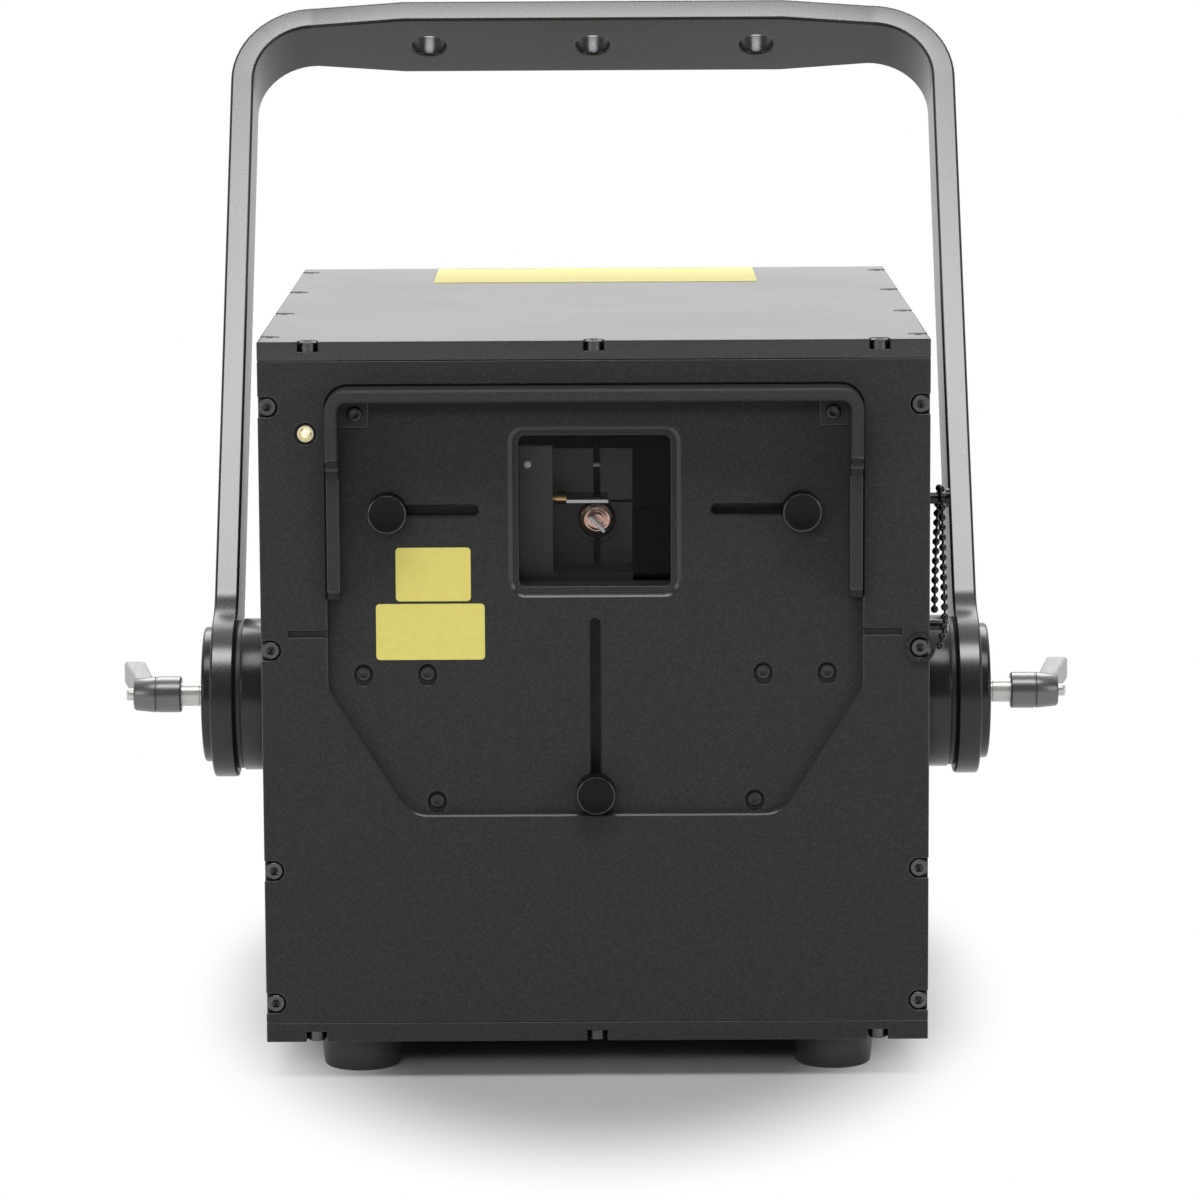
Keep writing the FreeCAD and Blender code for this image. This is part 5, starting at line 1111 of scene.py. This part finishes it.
def fan_screws(sizes):
    """Four screws that hold the fan to the rear panel."""
    low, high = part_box("fan_frame")
    inset = 4.25 * MM
    spots = [(Vector((across, BACK, up)), BACKWARD)
             for across in (low.x + inset, high.x - inset) for up in (low.z + inset, high.z - inset)]
    radius = sizes.head / 2
    tall, rim = 2.2 * MM, 0.5 * MM
    profile = [(radius, 0), (radius, rim), (radius * 0.85, tall * 0.75), (radius * 0.6, tall)]
    shape = screw_shape("fan_screw", sizes, profile, tall * 0.5)
    repeated_piece("fan_screws", shape, spots, "steel_black")


class PROJECTOR_OT_stage(Operator):
    """Set the pale floor, the soft light and the camera"""
    bl_idname = "projector.stage"
    bl_label = "Stage"

    def execute(self, context):
        stage = context.scene.projector_stage
        context.scene.view_settings.view_transform = "Standard"
        set_world(context.scene, stage.ambient, stage.dim)
        add_floor(stage)
        soft_light("strip_light", stage.strip, size=(1.5, 0.6), place=(0, -0.76, 1.66), target=(0, 0, 0.2))
        soft_light("back_light", stage.back, size=(1.6, 0.9), place=(0, 1.1, 1.35), target=(0, 0, 0.1))
        soft_light("front_light", stage.fill, size=(0.9, 0.25), place=(-0.35, -1.9, 0.8), target=(0, 0, 0.15),
                   glossy=False)
        for name, sign in LEFT_RIGHT:
            soft_light(name + "_light", stage.side, size=(0.6, 0.6), place=(sign * 1.25, -1.15, 0.55),
                       target=(0, 0, 0.15))
        set_camera(context.scene, stage)
        return {"FINISHED"}


def seen_rays(tree):
    """Mask of the rays that show the background: straight to the camera, off gloss or through glass."""
    path = tree.nodes.new("ShaderNodeLightPath")
    direct = worked_out(tree, "MAXIMUM", path.outputs["Is Camera Ray"], path.outputs["Is Glossy Ray"])
    return worked_out(tree, "MAXIMUM", direct, path.outputs["Is Transmission Ray"])


def mix_shaders(tree, factor, first, second):
    """Mix of two shaders."""
    mix = tree.nodes.new("ShaderNodeMixShader")
    tree.links.new(factor, mix.inputs["Fac"])
    tree.links.new(first, mix.inputs[1])
    tree.links.new(second, mix.inputs[2])
    return mix.outputs[0]


def set_world(scene, ambient, dim):
    """Plain grey light from all round, with a white background whose gloss fades towards the front."""
    fade = 0.25
    world = bpy.data.worlds.new("studio")
    world.use_nodes = True
    tree = world.node_tree
    plain = tree.nodes["Background"]
    plain.inputs["Color"].default_value = (1, 1, 1, 1)
    plain.inputs["Strength"].default_value = ambient
    coords = tree.nodes.new("ShaderNodeTexCoord")
    split = tree.nodes.new("ShaderNodeSeparateXYZ")
    tree.links.new(coords.outputs["Generated"], split.inputs[0])
    behind = spread(tree, split.outputs["Y"], -fade, fade, dim, 1.0)
    camera = tree.nodes.new("ShaderNodeLightPath").outputs["Is Camera Ray"]
    white = tree.nodes.new("ShaderNodeBackground")
    white.inputs["Color"].default_value = (1, 1, 1, 1)
    tree.links.new(worked_out(tree, "MAXIMUM", behind, camera), white.inputs["Strength"])
    shader = mix_shaders(tree, seen_rays(tree), plain.outputs[0], white.outputs[0])
    tree.links.new(shader, tree.nodes["World Output"].inputs["Surface"])
    scene.world = world


def add_floor(stage):
    """Pale floor that holds the shadow near the projector and shows white farther off."""
    half_width = 6
    fade_start = 0.6
    bm = bmesh.new()
    bmesh.ops.create_grid(bm, x_segments=1, y_segments=1, size=half_width)
    mesh_data = mesh_of(bm, "floor")
    material = bpy.data.materials.new("floor_paper")
    material.use_nodes = True
    tree = material.node_tree
    shader = tree.nodes["Principled BSDF"]
    shader.inputs["Base Color"].default_value = stage.floor
    shader.inputs["Roughness"].default_value = 0.9
    shader.inputs["Specular IOR Level"].default_value = 0.1
    coords = tree.nodes.new("ShaderNodeTexCoord")
    shrink = tree.nodes.new("ShaderNodeVectorMath")
    shrink.operation = "DIVIDE"
    shrink.inputs[1].default_value = (*stage.shadow, 1)
    reach = tree.nodes.new("ShaderNodeVectorMath")
    reach.operation = "LENGTH"
    tree.links.new(coords.outputs["Object"], shrink.inputs[0])
    tree.links.new(shrink.outputs["Vector"], reach.inputs[0])
    fade = tree.nodes.new("ShaderNodeMapRange")
    fade.interpolation_type = "SMOOTHSTEP"
    fade.inputs["From Min"].default_value = fade_start
    tree.links.new(reach.outputs["Value"], fade.inputs["Value"])
    share = worked_out(tree, "MULTIPLY", fade.outputs["Result"], seen_rays(tree))
    white = tree.nodes.new("ShaderNodeEmission")
    surface = mix_shaders(tree, share, shader.outputs[0], white.outputs[0])
    tree.links.new(surface, tree.nodes["Material Output"].inputs["Surface"])
    mesh_data.materials.append(material)
    floor = placed("floor", mesh_data)


def soft_light(name, power, size, place, target, glossy=True):
    """Rectangle of light that looks at a target, and that gloss may show."""
    data = bpy.data.lights.new(name, "AREA")
    data.shape = "RECTANGLE"
    data.energy = power
    data.size, data.size_y = size
    lamp = placed(name, data)
    lamp.location = place
    lamp.rotation_euler = (Vector(target) - Vector(place)).to_track_quat("-Z", "Y").to_euler()
    lamp.visible_camera = False
    lamp.visible_glossy = glossy


def set_camera(scene, stage):
    """Camera at its eye point, pitched down and leaned a little."""
    data = bpy.data.cameras.new("camera")
    data.sensor_width = 36
    data.lens = stage.focal
    data.clip_end = 50
    camera = placed("camera", data)
    forward = Vector((0, math.cos(stage.pitch), -math.sin(stage.pitch)))
    right = Vector((1, 0, 0))
    up = right.cross(forward)
    leaned = right * math.cos(stage.roll) + up * math.sin(stage.roll)
    raised = leaned.cross(forward)
    turn = Matrix((leaned, raised, -forward)).transposed()
    camera.matrix_world = Matrix.Translation(Vector(stage.eye)) @ turn.to_4x4()
    scene.camera = camera


class PROJECTOR_PT_panel(Panel):
    """Sizes, colours and pieces of the projector"""
    bl_idname = "PROJECTOR_PT_panel"
    bl_label = "Laser show projector"
    bl_space_type = "VIEW_3D"
    bl_region_type = "UI"
    bl_category = "Projector"

    def draw(self, context):
        for label in SETTINGS:
            group = getattr(context.scene, label)
            box = self.layout.box()
            for name in group.bl_rna.properties.keys():
                if name not in ("rna_type", "name"):
                    box.prop(group, name)
        for operator in OPERATORS:
            self.layout.operator(operator.bl_idname)


SETTINGS = {
    "projector_case": CaseFinish,
    "projector_screws": ScrewSizes,
    "projector_chain": ChainSizes,
    "projector_stickers": StickerLook,
    "projector_stage": StageLook,
}
OPERATORS = (
    PROJECTOR_OT_stage, PROJECTOR_OT_chain, PROJECTOR_OT_case, PROJECTOR_OT_screws, PROJECTOR_OT_masks,
    PROJECTOR_OT_lamp, PROJECTOR_OT_pivots, PROJECTOR_OT_yoke, PROJECTOR_OT_levers, PROJECTOR_OT_feet,
    PROJECTOR_OT_stickers, PROJECTOR_OT_scanner, PROJECTOR_OT_rear,
)


def register():
    """Make the classes known and give every scene its settings."""
    for cls in (*SETTINGS.values(), *OPERATORS, PROJECTOR_PT_panel):
        bpy.utils.register_class(cls)
    for label, cls in SETTINGS.items():
        setattr(bpy.types.Scene, label, PointerProperty(type=cls))


def unregister():
    """Take the settings and the classes away again."""
    for label in SETTINGS:
        delattr(bpy.types.Scene, label)
    for cls in (PROJECTOR_PT_panel, *reversed(OPERATORS), *SETTINGS.values()):
        bpy.utils.unregister_class(cls)


def main():
    """Dress the projector."""
    global LOOKS
    register()
    scene = bpy.context.scene
    LOOKS = make_finishes(scene.projector_case, scene.projector_stickers)
    for operator in OPERATORS:
        group, name = operator.bl_idname.split(".")
        getattr(getattr(bpy.ops, group), name)()


if __name__ == "__main__":
    main()
